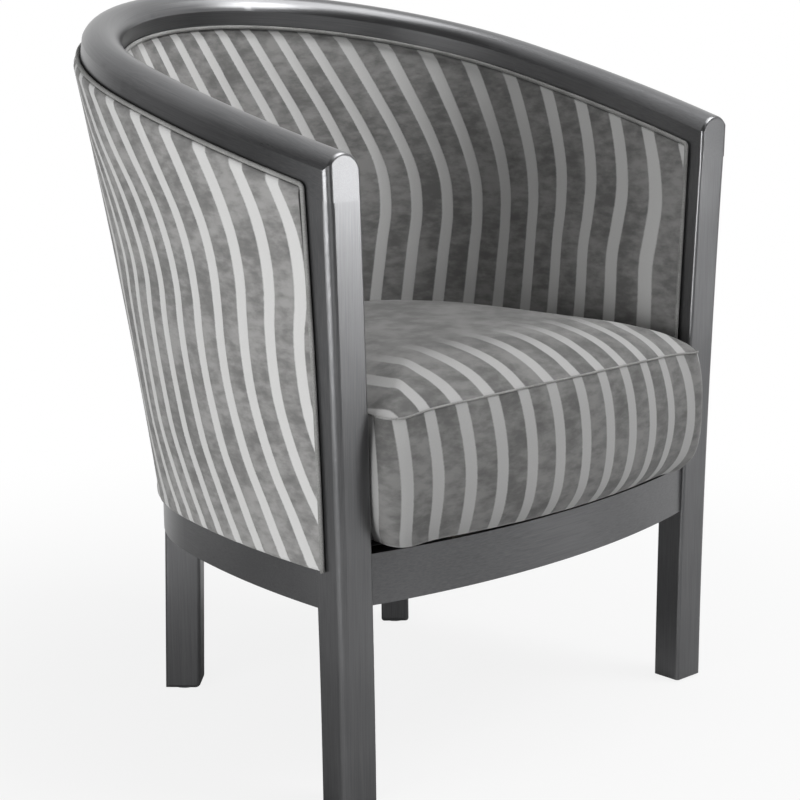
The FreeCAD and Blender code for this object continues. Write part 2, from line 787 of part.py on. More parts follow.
holes = group("dowel_hole_group", dowel_holes)
screw_hole_group = group("screw_hole_group", screw_holes)

# Glides: a disc and a nail under each foot

glide_nails = []
glides = []
foot_middle = leg_inner + plain("leg_rake") + plain("leg_depth") / 2
foot_points = [post_frame(side).Base for side in SIDES.values()]
foot_points += [leg_frame(side, foot_middle, 0).Base for side in SIDES.values()]
for number, floor in enumerate(foot_points):
    disc = rod(f"glide_disc_{number}", dim.glide_radius, dim.glide_height, floor, UP)
    nail = rod(f"glide_nail_{number}", dim.glide_nail_radius, dim.glide_nail_length, floor, UP)
    whole = doc.addObject("Part::MultiFuse", f"glide_{number}")
    whole.Shapes = [disc, nail]
    glides.append(whole)
    hole = rod(
        f"glide_hole_{number}", dim.glide_nail_radius + dim.dowel_gap,
        dim.glide_nail_length + dim.dowel_gap, floor, UP,
    )
    glide_nails.append(hole)
nail_holes = group("nail_hole_group", glide_nails)

# Timber: each bar is scribed to what it meets and bored for its dowels and screws

for name in SIDES:
    piece(cut(posts[name], holes, nail_holes), f"front_post_{name}")
    piece(cut(legs[name], holes, nail_holes), f"rear_leg_{name}")
    piece(cut(arm_bars[name], holes), f"arm_rail_{name}")
    side_rail = cut(side_bars[name], legs[name], holes, screw_hole_group)
    piece(side_rail, f"side_seat_rail_{name}")
piece(cut(back_top_bar, holes), "back_top_rail")
piece(cut(front_bar, posts["left"], posts["right"], holes, screw_hole_group), "front_seat_rail")
piece(cut(back_bar, legs["left"], legs["right"], holes, screw_hole_group), "back_seat_rail")
for name in SIDES:
    front = cut(block_bars[f"front_{name}"], posts[name], front_bar, side_bars[name], screw_hole_group)
    piece(front, f"corner_block_front_{name}")
    rear = cut(block_bars[f"rear_{name}"], legs[name], side_bars[name], back_bar, screw_hole_group)
    piece(rear, f"corner_block_rear_{name}")
piece(group("frame_dowels", dowels), "frame_dowels")
piece(group("corner_block_screws", screws), "corner_block_screws")
piece(group("foot_glides", glides), "foot_glides")

# Barrel wall, from the outside in

gap = plain("soft_gap")
board = plain("outside_board_thick")
upright_in = board + plain("upright_thick")
inside_board = upright_in + plain("inside_board_thick")
cover = plain("cover_thick")
wadding = plain("wadding_thick")
welt = plain("welt_radius")
welt_room = 2 * welt + 2 * gap
rail_wide = plain("rail_width")
deck_stack = 2 * (plain("strap_thick") + plain("strap_gap")) + plain("deck_thick")
WALL_STEPS = 8

wall_levels = [Level(step / WALL_STEPS) for step in range(WALL_STEPS + 1)]
piece(made("outside_board", wall_layer(wall_levels, 0, -board, gap)), "outside_board")

hem = [Level(0, -plain("hem_lap"))]
lap = [Level(1, plain("rail_cover_lap"))]
outside_levels = hem + wall_levels + lap
piece(made("outside_wadding", wall_layer(outside_levels, gap + wadding, gap, welt_room)), "outside_wadding")
cover_in = wadding + 2 * gap
outside_cover = wall_layer(outside_levels, cover_in + cover, cover_in, welt_room)
piece(made("outside_cover", outside_cover), "outside_cover")


uprights = []


def upright(label, frame_point):
    """An upright from the seat rail to the top rail; frame_point gives a spot on a level."""
    half = plain("upright_width") / 2
    wires = []
    for level in wall_levels:
        corners = [frame_point(level, -offset, step) for offset, step in (
            (board, -half), (board, half), (upright_in, half), (upright_in, -half))]
        wires.append(Part.makePolygon(corners + corners[:1]))
    uprights.append(piece(made(label, Part.makeLoft(wires, True, True)), label))


def on_back_curve(angle):
    """Spots for a flat-faced upright that fits between the boards of the back curve."""
    def frame_point(level, offset, step):
        outward = ACROSS * cosine(angle) + level.along * sine(angle)
        sideways = level.along * cosine(angle) - ACROSS * sine(angle)
        reach = level.radius + offset
        if offset == -board:
            reach = math.sqrt((reach - gap / 3) ** 2 - step ** 2)
        return level.centre + outward * reach + sideways * step

    return frame_point


def on_arm_curve(side):
    def frame_point(level, offset, step):
        middle = (level.arm_end(0, 0) + level.joint) / 2
        point = level.on_arm(middle + step / level.arm_radius * DEGREES_PER_RADIAN, offset)
        return Vector(side * point.x, point.y, point.z)

    return frame_point


upright("back_upright_middle", on_back_curve(90))
for name, side in SIDES.items():
    angle = plain("leg_angle") if side > 0 else 180 - plain("leg_angle")
    upright(f"back_upright_{name}", on_back_curve(angle))
    upright(f"arm_upright_{name}", on_arm_curve(side))


def pad_forward(share):
    """How far the padding stands forward at the middle of the back: full low down, easing to nothing."""
    return plain("back_pad") * (1 - share ** 2.2) * (1 + 0.35 * share)


def inside_levels(lift_low, padded):
    """Levels from the deck to the top rail, moved forward for the padded face."""
    shares = [step / WALL_STEPS for step in range(WALL_STEPS + 1)]
    return [
        Level(share, lift_low if share == 0 else 0, pad_forward(share) if padded else 0)
        for share in shares
    ]


straight = inside_levels(deck_stack + gap, False)
padded = inside_levels(deck_stack + gap, True)
inside_board_shape = wall_layer(straight, -upright_in - gap, -inside_board, gap)
piece(made("inside_board", inside_board_shape), "inside_board")
foam = wall_layer(straight, -inside_board - gap, -rail_wide, gap, padded)
piece(made("inside_back_foam", foam), "inside_back_foam")
inside_cover = wall_layer(padded + lap, -rail_wide - gap, -rail_wide - gap - cover, welt_room)
piece(made("inside_cover", inside_cover), "inside_cover")


def round_wire(centre, first, second, radius):
    """A circle of three arcs in the plane of first and second."""
    spots = [
        centre + first * (radius * cosine(60 * step)) + second * (radius * sine(60 * step))
        for step in range(7)
    ]
    return Part.Wire([Part.Arc(*spots[start:start + 3]).toShape() for start in (0, 2, 4)])


def piping(offset, levels):
    """Welt along the top rail and down both posts, in three lengths."""
    top = Level(1, plain("rail_cover_lap") + welt + gap)
    run = top.run(offset, welt_room)
    path = Part.Wire(arcs(run))
    start = run[0][0]
    inward = top.spot(0, 0) - start
    inward = inward.sub(top.normal * inward.dot(top.normal)).normalize()
    profile = round_wire(start, inward, top.normal, welt)
    lengths = [path.makePipeShell([profile], True, False)]
    for side in SIDES.values():
        wires = []
        for level in levels:
            point = level.on_arm(level.arm_end(offset, welt + gap), offset)
            centre = Vector(side * point.x, point.y, point.z)
            wires.append(round_wire(centre, ACROSS, BACKWARD, welt))
        lengths.append(Part.makeLoft(wires, True, True))
    return Part.makeCompound(lengths)


outside_welt = piping(welt + gap, hem + wall_levels + lap)
piece(made("outside_welt", outside_welt), "outside_welt")
inside_welt = piping(-rail_wide - welt - gap, padded + lap)
piece(made("inside_welt", inside_welt), "inside_welt")

# Seat platform: webbing both ways, deck cloth above and dust cloth below


def front_edge(x, inset):
    """The y of a line that lies inset behind the front rail's face."""
    reach = bow_radius.number - inset
    return bow_centre.y - math.sqrt(reach ** 2 - x ** 2)


def side_edge(y, inset):
    """The x of a line that lies inset inside the seat frame's outline, at y."""
    reach = seat_level.radius - inset
    depth = y - seat_level.centre.y
    if depth > reach * sine(seat_level.joint):
        return math.sqrt(reach ** 2 - depth ** 2)
    shift = seat_level.arm_radius - seat_level.radius
    rise = depth + shift * sine(seat_level.joint)
    return math.sqrt((seat_level.arm_radius - inset) ** 2 - rise ** 2) - shift * cosine(seat_level.joint)


upright_group = group("upright_group", uprights)
strap_hold = plain("seat_rail_thick") - plain("strap_bearing")
half_strap = plain("strap_width") / 2
long_straps = []
for number in range(4):
    x = (number - 1.5) * plain("strap_pitch")
    outer_edge = abs(x) + half_strap
    front = front_edge(abs(x) - half_strap, strap_hold)
    back = seat_centre.y + math.sqrt((plain("seat_back_radius") - strap_hold) ** 2 - outer_edge ** 2)
    strap = block(
        f"long_strap_{number}", dim.strap_width, back - front, dim.strap_thick,
        Placement(Vector(x - half_strap, front, seat_top), Rotation()),
    )
    long_straps.append(cut(strap, upright_group))
piece(group("seat_webbing_lengthwise", long_straps), "seat_webbing_lengthwise")
cross_straps = []
cross_height = seat_top + plain("strap_thick") + plain("strap_gap")
arm_upright_y = seat_level.on_arm((seat_level.arm_end(0, 0) + seat_level.joint) / 2, 0).y
first_free = arm_upright_y + plain("upright_width") / 2 + plain("strap_width") * 0.7
ahead_of_upright = arm_upright_y - plain("strap_pitch")
for number, y in enumerate((ahead_of_upright, first_free, first_free + plain("strap_pitch"))):
    reach = min(side_edge(y + step, strap_hold) for step in (-half_strap, half_strap))
    strap = block(
        f"cross_strap_{number}", 2 * reach, dim.strap_width, dim.strap_thick,
        Placement(Vector(-reach, y - half_strap, cross_height), Rotation()),
    )
    cross_straps.append(cut(strap, upright_group))
piece(group("seat_webbing_crosswise", cross_straps), "seat_webbing_crosswise")


def seat_sheet(inset, post_clear, height, thick):
    """A flat cloth over the seat frame, notched round the posts."""
    level = Level(0, height - seat_top)
    run = level.run(-inset, gap)
    right_end = run[0][0]
    left_end = run[-1][-1]
    clear = post_edge - post_clear
    inset_front = plain("seat_rail_thick") / 2
    corner_y = front_edge(clear, inset_front)
    notch_y = right_end.y + (right_end.x - clear) * math.tan(math.radians(plain("post_turn")))
    right_notch = Vector(clear, notch_y, height)
    left_notch = Vector(-clear, notch_y, height)
    right_front = Vector(clear, corner_y, height)
    left_front = Vector(-clear, corner_y, height)
    middle_front = Vector(0, front_edge(0, inset_front), height)
    edges = arcs(run)
    edges.append(line(left_end, left_notch))
    edges.append(line(left_notch, left_front))
    edges.append(Part.Arc(left_front, middle_front, right_front).toShape())
    edges.append(line(right_front, right_notch))
    edges.append(line(right_notch, right_end))
    return Part.Face(Part.Wire(edges)).extrude(UP * thick)


NOTCH = 3
deck_height = cross_height + plain("strap_thick") + plain("strap_gap")
deck_inset = upright_in + gap
deck = seat_sheet(deck_inset, NOTCH, deck_height, plain("deck_thick"))
piece(made("seat_deck", deck), "seat_deck")
dust_bar = made(
    "dust_bar",
    seat_sheet(plain("seat_rail_thick") / 2, NOTCH, seat_bottom - plain("deck_thick"), plain("deck_thick")),
)
piece(cut(dust_bar, legs["left"], legs["right"]), "dust_cloth")

# Loose cushion: a bordered cover over a foam core, crowned on top and drawn in at its sides

cushion_low = deck_height + plain("deck_thick") + gap
cushion_seam = cushion_low + plain("cushion_border")
cushion_top = cushion_seam + plain("cushion_crown")
inside_radius = plain("seat_back_radius") - rail_wide - gap - cover
cushion_back_radius = inside_radius - plain("cushion_back_gap")
cushion_back_y = seat_centre.y - plain("back_pad")
cushion_front_y = post_y - plain("cushion_front_reach")
arm_cover_face = -rail_wide - gap - cover
arm_cover_end = padded[0].on_arm(padded[0].arm_end(arm_cover_face, gap), arm_cover_face)
cushion_half_width = arm_cover_end.x - plain("cushion_side_gap")
cushion_middle = Vector(0, (cushion_front_y + cushion_back_y + cushion_back_radius) / 2, 0)


def cushion_outline():
    """The cushion's plan at its widest: bowed front, round front corners, side curves and back curve."""
    corner_radius = plain("cushion_corner_radius")
    corner_x = cushion_half_width - corner_radius
    corner_y = post_y - plain("cushion_corner_reach")
    reach = corner_y - cushion_front_y
    bow = (corner_x ** 2 + reach ** 2 - corner_radius ** 2) / (2 * (reach - corner_radius))
    bow_y = cushion_front_y + bow
    lean = math.atan2(corner_x, bow_y - corner_y)
    corner = Vector(corner_x, corner_y, 0)

    def on_corner(angle):
        return corner + Vector(math.sin(angle), -math.cos(angle), 0) * corner_radius

    front = on_corner(lean)
    turn = on_corner((lean + math.pi / 2) / 2)
    side_front = on_corner(math.pi / 2)
    joint = plain("seat_joint_angle")
    back = Vector(0, cushion_back_y, 0)
    side_back = back + Vector(cosine(joint), sine(joint), 0) * cushion_back_radius
    chord = side_front - side_back
    chord_lean = math.atan2(chord.x, -chord.y)
    bulge = chord.Length / 2 * math.tan((math.radians(joint) - chord_lean) / 2)
    side_middle = (side_front + side_back) / 2 + Vector(-chord.y, chord.x, 0).normalize() * bulge
    right = [[front, turn, side_front], [side_front, side_middle, side_back]]
    left = [[Vector(-point.x, point.y, 0) for point in points[::-1]] for points in reversed(right)]
    top = [side_back, back + BACKWARD * cushion_back_radius, left[0][0]]
    bottom = [left[-1][-1], Vector(0, cushion_front_y, 0), front]
    return right + [top] + left + [bottom]


CUSHION_BORDER = ((0, 0.955), (0.06, 0.982), (0.2, 0.996), (0.5, 1.0), (0.85, 0.992), (1, 0.976))
CUSHION_CROWN = ((0, 0.976), (0.45, 0.9), (0.8, 0.7), (0.97, 0.4), (1, 0.2))


def cushion_shape(inset):
    """The cushion drawn in by inset all round."""
    outline = cushion_outline()
    half_height = (cushion_top - cushion_low) / 2
    middle = cushion_low + half_height

    def section(height, scale):
        flat_scale = scale - inset / cushion_half_width
        squeezed = middle + (height - middle) * (1 - inset / half_height)
        placed = [
            [cushion_middle + (point - cushion_middle) * flat_scale + UP * squeezed for point in points]
            for points in outline
        ]
        return Part.Wire(arcs(placed))

    border = [
        section(cushion_low + share * plain("cushion_border"), scale) for share, scale in CUSHION_BORDER
    ]
    crown = [
        section(cushion_seam + share * plain("cushion_crown"), scale) for share, scale in CUSHION_CROWN
    ]
    return Part.makeLoft(border, True, False).fuse(Part.makeLoft(crown, True, False))


cushion_cover = plain("cushion_cover_thick")
shell = cushion_shape(0).cut(cushion_shape(cushion_cover))
piece(made("cushion_cover", shell), "cushion_cover")
piece(made("cushion_foam", cushion_shape(cushion_cover + gap)), "cushion_foam")

# Check every object, then write one file per sub-part

doc.recompute()
for item in doc.Objects:
    if "Invalid" in item.State or "Error" in item.State:
        raise RuntimeError(f"{item.Label} failed: {item.State}")
for item in finished:
    if item.Shape.isNull() or not item.Shape.isValid() or not item.Shape.Solids:
        raise RuntimeError(f"{item.Label} has no valid solid")

os.makedirs("parts", exist_ok=True)
for item in finished:
    item.Shape.exportStep(f"parts/{item.Label}.step")
    print(item.Label, len(item.Shape.Solids), "solids")
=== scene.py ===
# %% [markdown]
# # Dressing a barrel chair
#
# The timber frame, its joints and its hidden layers come ready made from the CAD model. This
# notebook gives them their finish, and makes the upholstery as cloth: striped velvet stretched over
# the barrel wall, piping along its edges, and a loose cushion that is blown up like a real one.
# Everything is in metres, +Z is up and the chair faces -Y.

# %% Load the frame
import math

import bmesh
import bpy
import numpy as np
from mathutils import Matrix, Vector


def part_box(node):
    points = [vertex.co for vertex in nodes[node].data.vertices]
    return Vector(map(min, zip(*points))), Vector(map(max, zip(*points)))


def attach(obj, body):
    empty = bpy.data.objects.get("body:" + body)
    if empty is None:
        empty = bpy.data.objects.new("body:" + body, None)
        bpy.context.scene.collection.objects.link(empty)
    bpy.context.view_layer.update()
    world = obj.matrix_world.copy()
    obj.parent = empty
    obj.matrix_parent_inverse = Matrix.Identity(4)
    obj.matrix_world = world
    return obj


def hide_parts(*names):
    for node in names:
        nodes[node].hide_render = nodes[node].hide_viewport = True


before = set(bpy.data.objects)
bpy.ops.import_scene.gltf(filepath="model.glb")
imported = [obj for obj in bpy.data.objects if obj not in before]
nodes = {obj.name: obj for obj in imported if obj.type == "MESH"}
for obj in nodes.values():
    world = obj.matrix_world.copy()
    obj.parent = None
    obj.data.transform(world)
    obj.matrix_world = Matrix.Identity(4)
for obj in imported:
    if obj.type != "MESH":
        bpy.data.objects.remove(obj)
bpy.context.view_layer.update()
MM = 0.001

# %% [markdown]
# ## Shader maths
#
# A material is a graph of nodes. Written by hand, every sum takes three lines, so a small class
# wraps a socket and lets Python's operators add the Math nodes.


# %% Signals
def operator_pair(operation):
    """Methods that add a Math node, for signal + 1 and for 1 + signal."""

    def plain(self, other):
        return self.finish.maths(operation, self, other)

    def reflected(self, other):
        return self.finish.maths(operation, other, self)

    return plain, reflected


class Signal:
    """A number that changes over a surface."""

    __add__, __radd__ = operator_pair("ADD")
    __sub__, __rsub__ = operator_pair("SUBTRACT")
    __mul__, __rmul__ = operator_pair("MULTIPLY")
    __truediv__, __rtruediv__ = operator_pair("DIVIDE")

    def __init__(self, finish, socket):
        self.finish = finish
        self.socket = socket

    def maths(self, operation, *others):
        return self.finish.maths(operation, self, *others)

    def between(self, low, high):
        """0 below low and 1 above high, with an S-shaped rise between them."""
        settings = {"interpolation_type": "SMOOTHSTEP"}
        sockets = {"Value": self, "From Min": low, "From Max": high}
        return self.finish.add("ShaderNodeMapRange", settings, sockets)

    def spread(self, low, high):
        """A 0 to 1 signal spread over low to high."""
        return low + self * (high - low)


# %% [markdown]
# A finish holds the nodes of one material. `Finish.add` makes any node: it takes the node's type,
# then its settings, then the values or links of its sockets. The other methods are short names for
# the nodes that come up again and again.


# %% Finishes
class Finish:
    """The nodes of a material or of the world, and the one method that adds a node."""

    def __init__(self, holder):
        holder.use_nodes = True
        self.holder = holder
        self.tree = holder.node_tree
        self.tree.nodes.clear()

    def add(self, kind, settings=None, sockets=None, out=0):
        node = self.tree.nodes.new(kind)
        for key, value in (settings or {}).items():
            setattr(node, key, value)
        for key, value in (sockets or {}).items():
            target = node.inputs[key]
            if isinstance(value, Signal):
                self.tree.links.new(value.socket, target)
            else:
                target.default_value = value
        return Signal(self, node.outputs[out]) if node.outputs else None

    def maths(self, operation, *values):
        return self.add("ShaderNodeMath", {"operation": operation}, dict(enumerate(values)))

    def mix(self, share, first, second):
        """A colour between two colours."""
        colours = [value if isinstance(value, Signal) else (*value, 1) for value in (first, second)]
        sockets = {0: share, 6: colours[0], 7: colours[1]}
        return self.add("ShaderNodeMix", {"data_type": "RGBA"}, sockets, out=2)

    def split(self, vector):
        """The three coordinates of a vector."""
        node = self.add("ShaderNodeSeparateXYZ", None, {"Vector": vector}).socket.node
        return [Signal(self, socket) for socket in node.outputs]

    def point(self):
        """The shaded point in the chair's frame."""
        return self.add("ShaderNodeTexCoord", out="Object")

    def place(self):
        """The three coordinates of the shaded point."""
        return self.split(self.point())

    def vector(self, x, y, z):
        return self.add("ShaderNodeCombineXYZ", None, {"X": x, "Y": y, "Z": z})

    def noise(self, vector, scale, detail=2.0, roughness=0.5):
        sockets = {"Vector": vector, "Scale": scale, "Detail": detail, "Roughness": roughness}
        return self.add("ShaderNodeTexNoise", None, sockets)

    def stripes(self):
        """The stripe count and its clearness, kept as UV coordinates."""
        pair = self.add("ShaderNodeUVMap", {"uv_map": "stripes"})
        return self.split(pair)[:2]

    def bump(self, height, distance, strength=1.0):
        sockets = {"Height": height, "Distance": distance, "Strength": strength}
        return self.add("ShaderNodeBump", None, sockets)

    def surface(self, **sockets):
        """Ends the material in a Principled shader; socket names use _ for spaces."""
        named = {key.replace("_", " "): value for key, value in sockets.items()}
        shader = self.add("ShaderNodeBsdfPrincipled", None, named)
        self.add("ShaderNodeOutputMaterial", None, {"Surface": shader})
        return self.holder


def new_finish(name):
    return Finish(bpy.data.materials.new(name))


def paint(piece, material):
    """Gives every material slot of a piece the same finish."""
    if not piece.data.materials:
        piece.data.materials.append(material)
    for index in range(len(piece.material_slots)):
        piece.material_slots[index].link = "OBJECT"
        piece.material_slots[index].material = material


# %% [markdown]
# ## The camera
#
# The photograph was taken with a fairly long lens from the front left, a little above the arms. A
# pinhole camera fitted to the posts, rails and feet gave these numbers. Blender's camera looks along
# its own -Z, so its matrix holds the right, up and backward directions.

# %% Camera
CAMERA_PLACE = Vector((-1.5944, -1.7177, 0.8639))
CAMERA_YAW = 0.763
CAMERA_PITCH = 0.216
CAMERA_ROLL = -0.010
CAMERA_LENS = 90.65
SENSOR_WIDTH = 36

forward = Vector((
    math.sin(CAMERA_YAW) * math.cos(CAMERA_PITCH),
    math.cos(CAMERA_YAW) * math.cos(CAMERA_PITCH),
    -math.sin(CAMERA_PITCH),
))
level_right = Vector((math.cos(CAMERA_YAW), -math.sin(CAMERA_YAW), 0))
level_up = level_right.cross(forward)
camera_right = level_right * math.cos(CAMERA_ROLL) + level_up * math.sin(CAMERA_ROLL)
camera_up = level_up * math.cos(CAMERA_ROLL) - level_right * math.sin(CAMERA_ROLL)
camera = bpy.data.objects.new("camera", bpy.data.cameras.new("camera"))
camera.data.lens = CAMERA_LENS
camera.data.sensor_width = SENSOR_WIDTH
camera.matrix_world = Matrix((
    (camera_right.x, camera_up.x, -forward.x, CAMERA_PLACE.x),
    (camera_right.y, camera_up.y, -forward.y, CAMERA_PLACE.y),
    (camera_right.z, camera_up.z, -forward.z, CAMERA_PLACE.z),
    (0, 0, 0, 1),
))
bpy.context.scene.collection.objects.link(camera)
bpy.context.scene.camera = camera
print("camera", round(CAMERA_PLACE.length, 2), "m from the chair, lens", CAMERA_LENS, "mm")

# %% [markdown]
# ## The barrel
#
# The wall of the chair is one outline, a back curve and two side curves, that grows and tips back
# between the seat rails and the top rail. The covers are drawn on that outline, so it is worked out
# here in the same way as in the CAD model: a level is a share of the way up, and a spot on it is a
# distance along the run from a post.

# %% Levels of the barrel
POST_Y = -254.36
POST_X = 273.0
POST_DEPTH = 36.5
POST_TURN = math.radians(1.5)
SEAT_TOP = 270.0
SEAT_BOTTOM = 215.0
SEAT_CENTRE_RUN = 214.7
SEAT_BACK_RADIUS = 273.3
SEAT_ARM_RADIUS = 1059.0
SEAT_JOINT = math.radians(13.9)
RAIL_TILT = math.radians(13.96)
RAIL_CENTRE_RUN = 249.0
RAIL_CENTRE_HEIGHT = 749.8
RAIL_BACK_RADIUS = 303.5
RAIL_ARM_RADIUS = 1180.0
RAIL_JOINT = math.radians(5.45)
RAIL_WIDTH = 45.0
RAIL_HEIGHT = 46.0
WALL_WAIST = 4.5
BACK_PAD = 30.0
PAD_TAPER = 2.2
PAD_FULLNESS = 0.35


def blend(low, high, share):
    return low + (high - low) * share


class Level:
    """The frame's outer face at a share of the way up the wall, in millimetres."""

    def __init__(self, share, lift=0.0, forward=0.0):
        low = np.array((0, POST_Y + SEAT_CENTRE_RUN, SEAT_TOP))
        high = np.array((
            0,
            POST_Y + RAIL_CENTRE_RUN + RAIL_HEIGHT * math.sin(RAIL_TILT),
            RAIL_CENTRE_HEIGHT - RAIL_HEIGHT * math.cos(RAIL_TILT),
        ))
        waist = WALL_WAIST * 4 * share * (1 - share)
        tilt = RAIL_TILT * share
        self.tilt = tilt
        self.along = np.array((0, math.cos(tilt), math.sin(tilt)))
        self.normal = np.array((0, -math.sin(tilt), math.cos(tilt)))
        self.centre = blend(low, high, share) + self.normal * lift - self.along * forward
        self.radius = blend(SEAT_BACK_RADIUS, RAIL_BACK_RADIUS + RAIL_WIDTH / 2, share) - waist
        self.arm_radius = blend(SEAT_ARM_RADIUS, RAIL_ARM_RADIUS + RAIL_WIDTH / 2, share) - waist
        self.joint = blend(SEAT_JOINT, RAIL_JOINT, share)

    def arm_end(self, offset, gap):
        """The arm's angle at the plane that lies gap behind the right post."""
        shift = self.arm_radius - self.radius
        reach = self.arm_radius + offset
        x_part = reach * math.sin(POST_TURN)
        y_part = reach * math.cos(POST_TURN) * math.cos(self.tilt)
        from_post_x = -shift * math.cos(self.joint) - POST_X
        from_post_y = self.centre[1] - shift * math.sin(self.joint) * math.cos(self.tilt) - POST_Y
        rest = (
            POST_DEPTH / 2 + gap
            - math.sin(POST_TURN) * from_post_x
            - math.cos(POST_TURN) * from_post_y
        )
        return math.atan2(y_part, x_part) - math.acos(rest / math.hypot(x_part, y_part))

    def lengths(self, offset, gap):
        """How long the arm and half of the back are, along the offset curve."""
        arm = (self.arm_radius + offset) * (self.joint - self.arm_end(offset, gap))
        back = (self.radius + offset) * (math.pi / 2 - self.joint)
        return arm, back

    def point(self, distance, offset, gap, side):
        """The spot at a distance from the post on one side (1 right, -1 left)."""
        arm, _ = self.lengths(offset, gap)
        if distance < arm:
            angle = self.arm_end(offset, gap) + distance / (self.arm_radius + offset)
            shift = self.arm_radius - self.radius
            reach = self.arm_radius + offset
            x = reach * math.cos(angle) - shift * math.cos(self.joint)
            y = reach * math.sin(angle) - shift * math.sin(self.joint)
        else:
            angle = self.joint + (distance - arm) / (self.radius + offset)
            x = (self.radius + offset) * math.cos(angle)
            y = (self.radius + offset) * math.sin(angle)
        spot = self.centre + np.array((x, 0, 0)) + self.along * y
        spot[0] *= side
        return spot


def pad_forward(share):
    """How far the inside padding stands forward at the middle of the back."""
    return BACK_PAD * (1 - share ** PAD_TAPER) * (1 + PAD_FULLNESS * share)


for share, name in ((0.0, "seat"), (1.0, "rail")):
    print("run of the wall at the", name, round(2 * sum(Level(share).lengths(0.0, 0.0))), "mm")

# %% [markdown]
# ## Stripes
#
# The cloth is a dark velvet with paler satin stripes. They aren't straight: the weave makes them
# waver, and the cloth was pulled round a wall that is wider at the top, so they sway and fan out
# there. A stripe is therefore found backwards. Sway is how far the whole pattern has slid along the
# run at a share of the height, and fan is how much further it has slid far from the post. A few
# rounds of guessing take both off again and leave the place on the flat cloth, which is then counted
# in pitches. Each mesh keeps that count as a UV coordinate, and the material turns its fraction into
# pale and dark bands.

# %% Stripe field
PALE_SHARE = 0.36
WALL_HEIGHT = 440.0
GUESS_ROUNDS = 16
BAND_EDGE = 0.03


def rise(low, high, value):
    """0 below low and 1 above high, with an S-shaped rise between them."""
    part = np.clip((value - low) / (high - low), 0, 1)
    return part * part * (3 - 2 * part)


def smooth_curve(*knots):
    """A function through knots, with rounded bends."""
    places, values = (np.array(column, float) for column in zip(*knots))
    slopes = np.gradient(values, places)

    def curve(place):
        place = min(max(place, places[0]), places[-1])
        index = min(int(np.searchsorted(places, place, "right")) - 1, len(places) - 2)
        width = places[index + 1] - places[index]
        part = (place - places[index]) / width
        ease_in = part * (1 - part) ** 2 * width * slopes[index]
        ease_out = part * part * (part - 1) * width * slopes[index + 1]
        return blend(values[index], values[index + 1], part * part * (3 - 2 * part)) + ease_in + ease_out

    return curve


class StripedCloth:
    """A cloth hung on the wall from one post round to the other."""

    def __init__(self, sway, fan, spread, first, pitch, gathered):
        self.sway = sway
        self.fan = fan
        self.spread = spread
        self.first = first
        self.pitch = pitch
        self.gathered = gathered

    def count(self, distance, share):
        """Stripe pitches from the first stripe, at distances along the run."""
        sway = self.sway(share)
        fan = self.fan(share)
        flat = distance - sway
        for _ in range(GUESS_ROUNDS):
            flat = distance - sway - fan * self.spread(flat)
        return (flat + self.gathered(flat) - self.first) / self.pitch


def outside_spread(flat):
    return (rise(-40, 400, flat) - 0.1) / 0.595 * (1 - rise(900, 1300, flat))


def inside_spread(flat):
    return rise(54, 430, flat) * (1 - rise(800, 1180, flat))


def outside_gathered(flat):
    """Cloth eased in round the back curve, where the stripes stand closer."""
    return 62 * np.clip((flat - 60) / 270, 0, 1) ** 2.6


def inside_gathered(flat):
    """Cloth pulled out towards the right post, where the stripes stand wider."""
    return np.interp(flat, (-20, 36, 89, 134), (40.5, 18, 5, 0))


outside_cloth = StripedCloth(
    smooth_curve((-0.05, -97), (0, -84), (0.1, -62), (0.2, -37), (0.3, -18), (0.4, -5), (0.5, 0),
                 (0.6, 0), (0.7, -4), (0.8, -2), (0.9, 8), (1, 28), (1.05, 40)),
    smooth_curve((-0.05, 19), (0.1, 25), (0.2, 21), (0.3, 12), (0.4, 5), (0.5, 2), (0.6, 0), (0.7, 14),
                 (0.8, 34), (0.9, 62), (1, 76), (1.05, 82)),
    outside_spread, 46.0, 42.0, outside_gathered,
)
inside_cloth = StripedCloth(
    smooth_curve((0, -2), (0.5, -2), (0.6, 0), (0.7, -4.5), (0.8, -8), (0.9, -2), (1, 12), (1.05, 22)),
    smooth_curve((0, 0), (0.5, 0), (0.6, 0), (0.7, 20), (0.8, 58), (0.9, 96), (1, 130), (1.05, 146)),
    inside_spread, 54.0, 40.0, inside_gathered,
)


def pale_band(count):
    """1 in the middle of a pale stripe and 0 in the velvet, for an array of stripe counts."""
    away = np.abs(count - np.round(count))
    return np.clip((PALE_SHARE / 2 + BAND_EDGE - away) / (2 * BAND_EDGE), 0, 1)


print("stripe pitch", outside_cloth.pitch, "mm outside and", inside_cloth.pitch, "mm inside")

# %% [markdown]
# ## Meshes from rows of points
#
# Cloth that was cut and sewn has a clear grid, so each cover is made as rows of points joined by
# quads. Values that the material needs are kept at the points.

# %% Grid and tube helpers


def new_piece(name, points, faces, smooth=True):
    """A mesh object from points in millimetres."""
    mesh = bpy.data.meshes.new(name)
    mesh.from_pydata([tuple(value * MM for value in point) for point in points], [], faces)
    mesh.update()
    if smooth:
        mesh.polygons.foreach_set("use_smooth", [True] * len(mesh.polygons))
    piece = bpy.data.objects.new(name, mesh)
    bpy.context.scene.collection.objects.link(piece)
    return piece


def keep_stripes(piece, corner_values):
    """Stores a stripe count and its clearness at every face corner, as UV coordinates."""
    layer = piece.data.uv_layers.new(name="stripes")
    layer.data.foreach_set("uv", np.asarray(corner_values, dtype=np.float32).ravel())


def corner_points(piece):
    """The point number behind every face corner."""
    numbers = np.empty(len(piece.data.loops), dtype=np.int32)
    piece.data.loops.foreach_get("vertex_index", numbers)
    return numbers


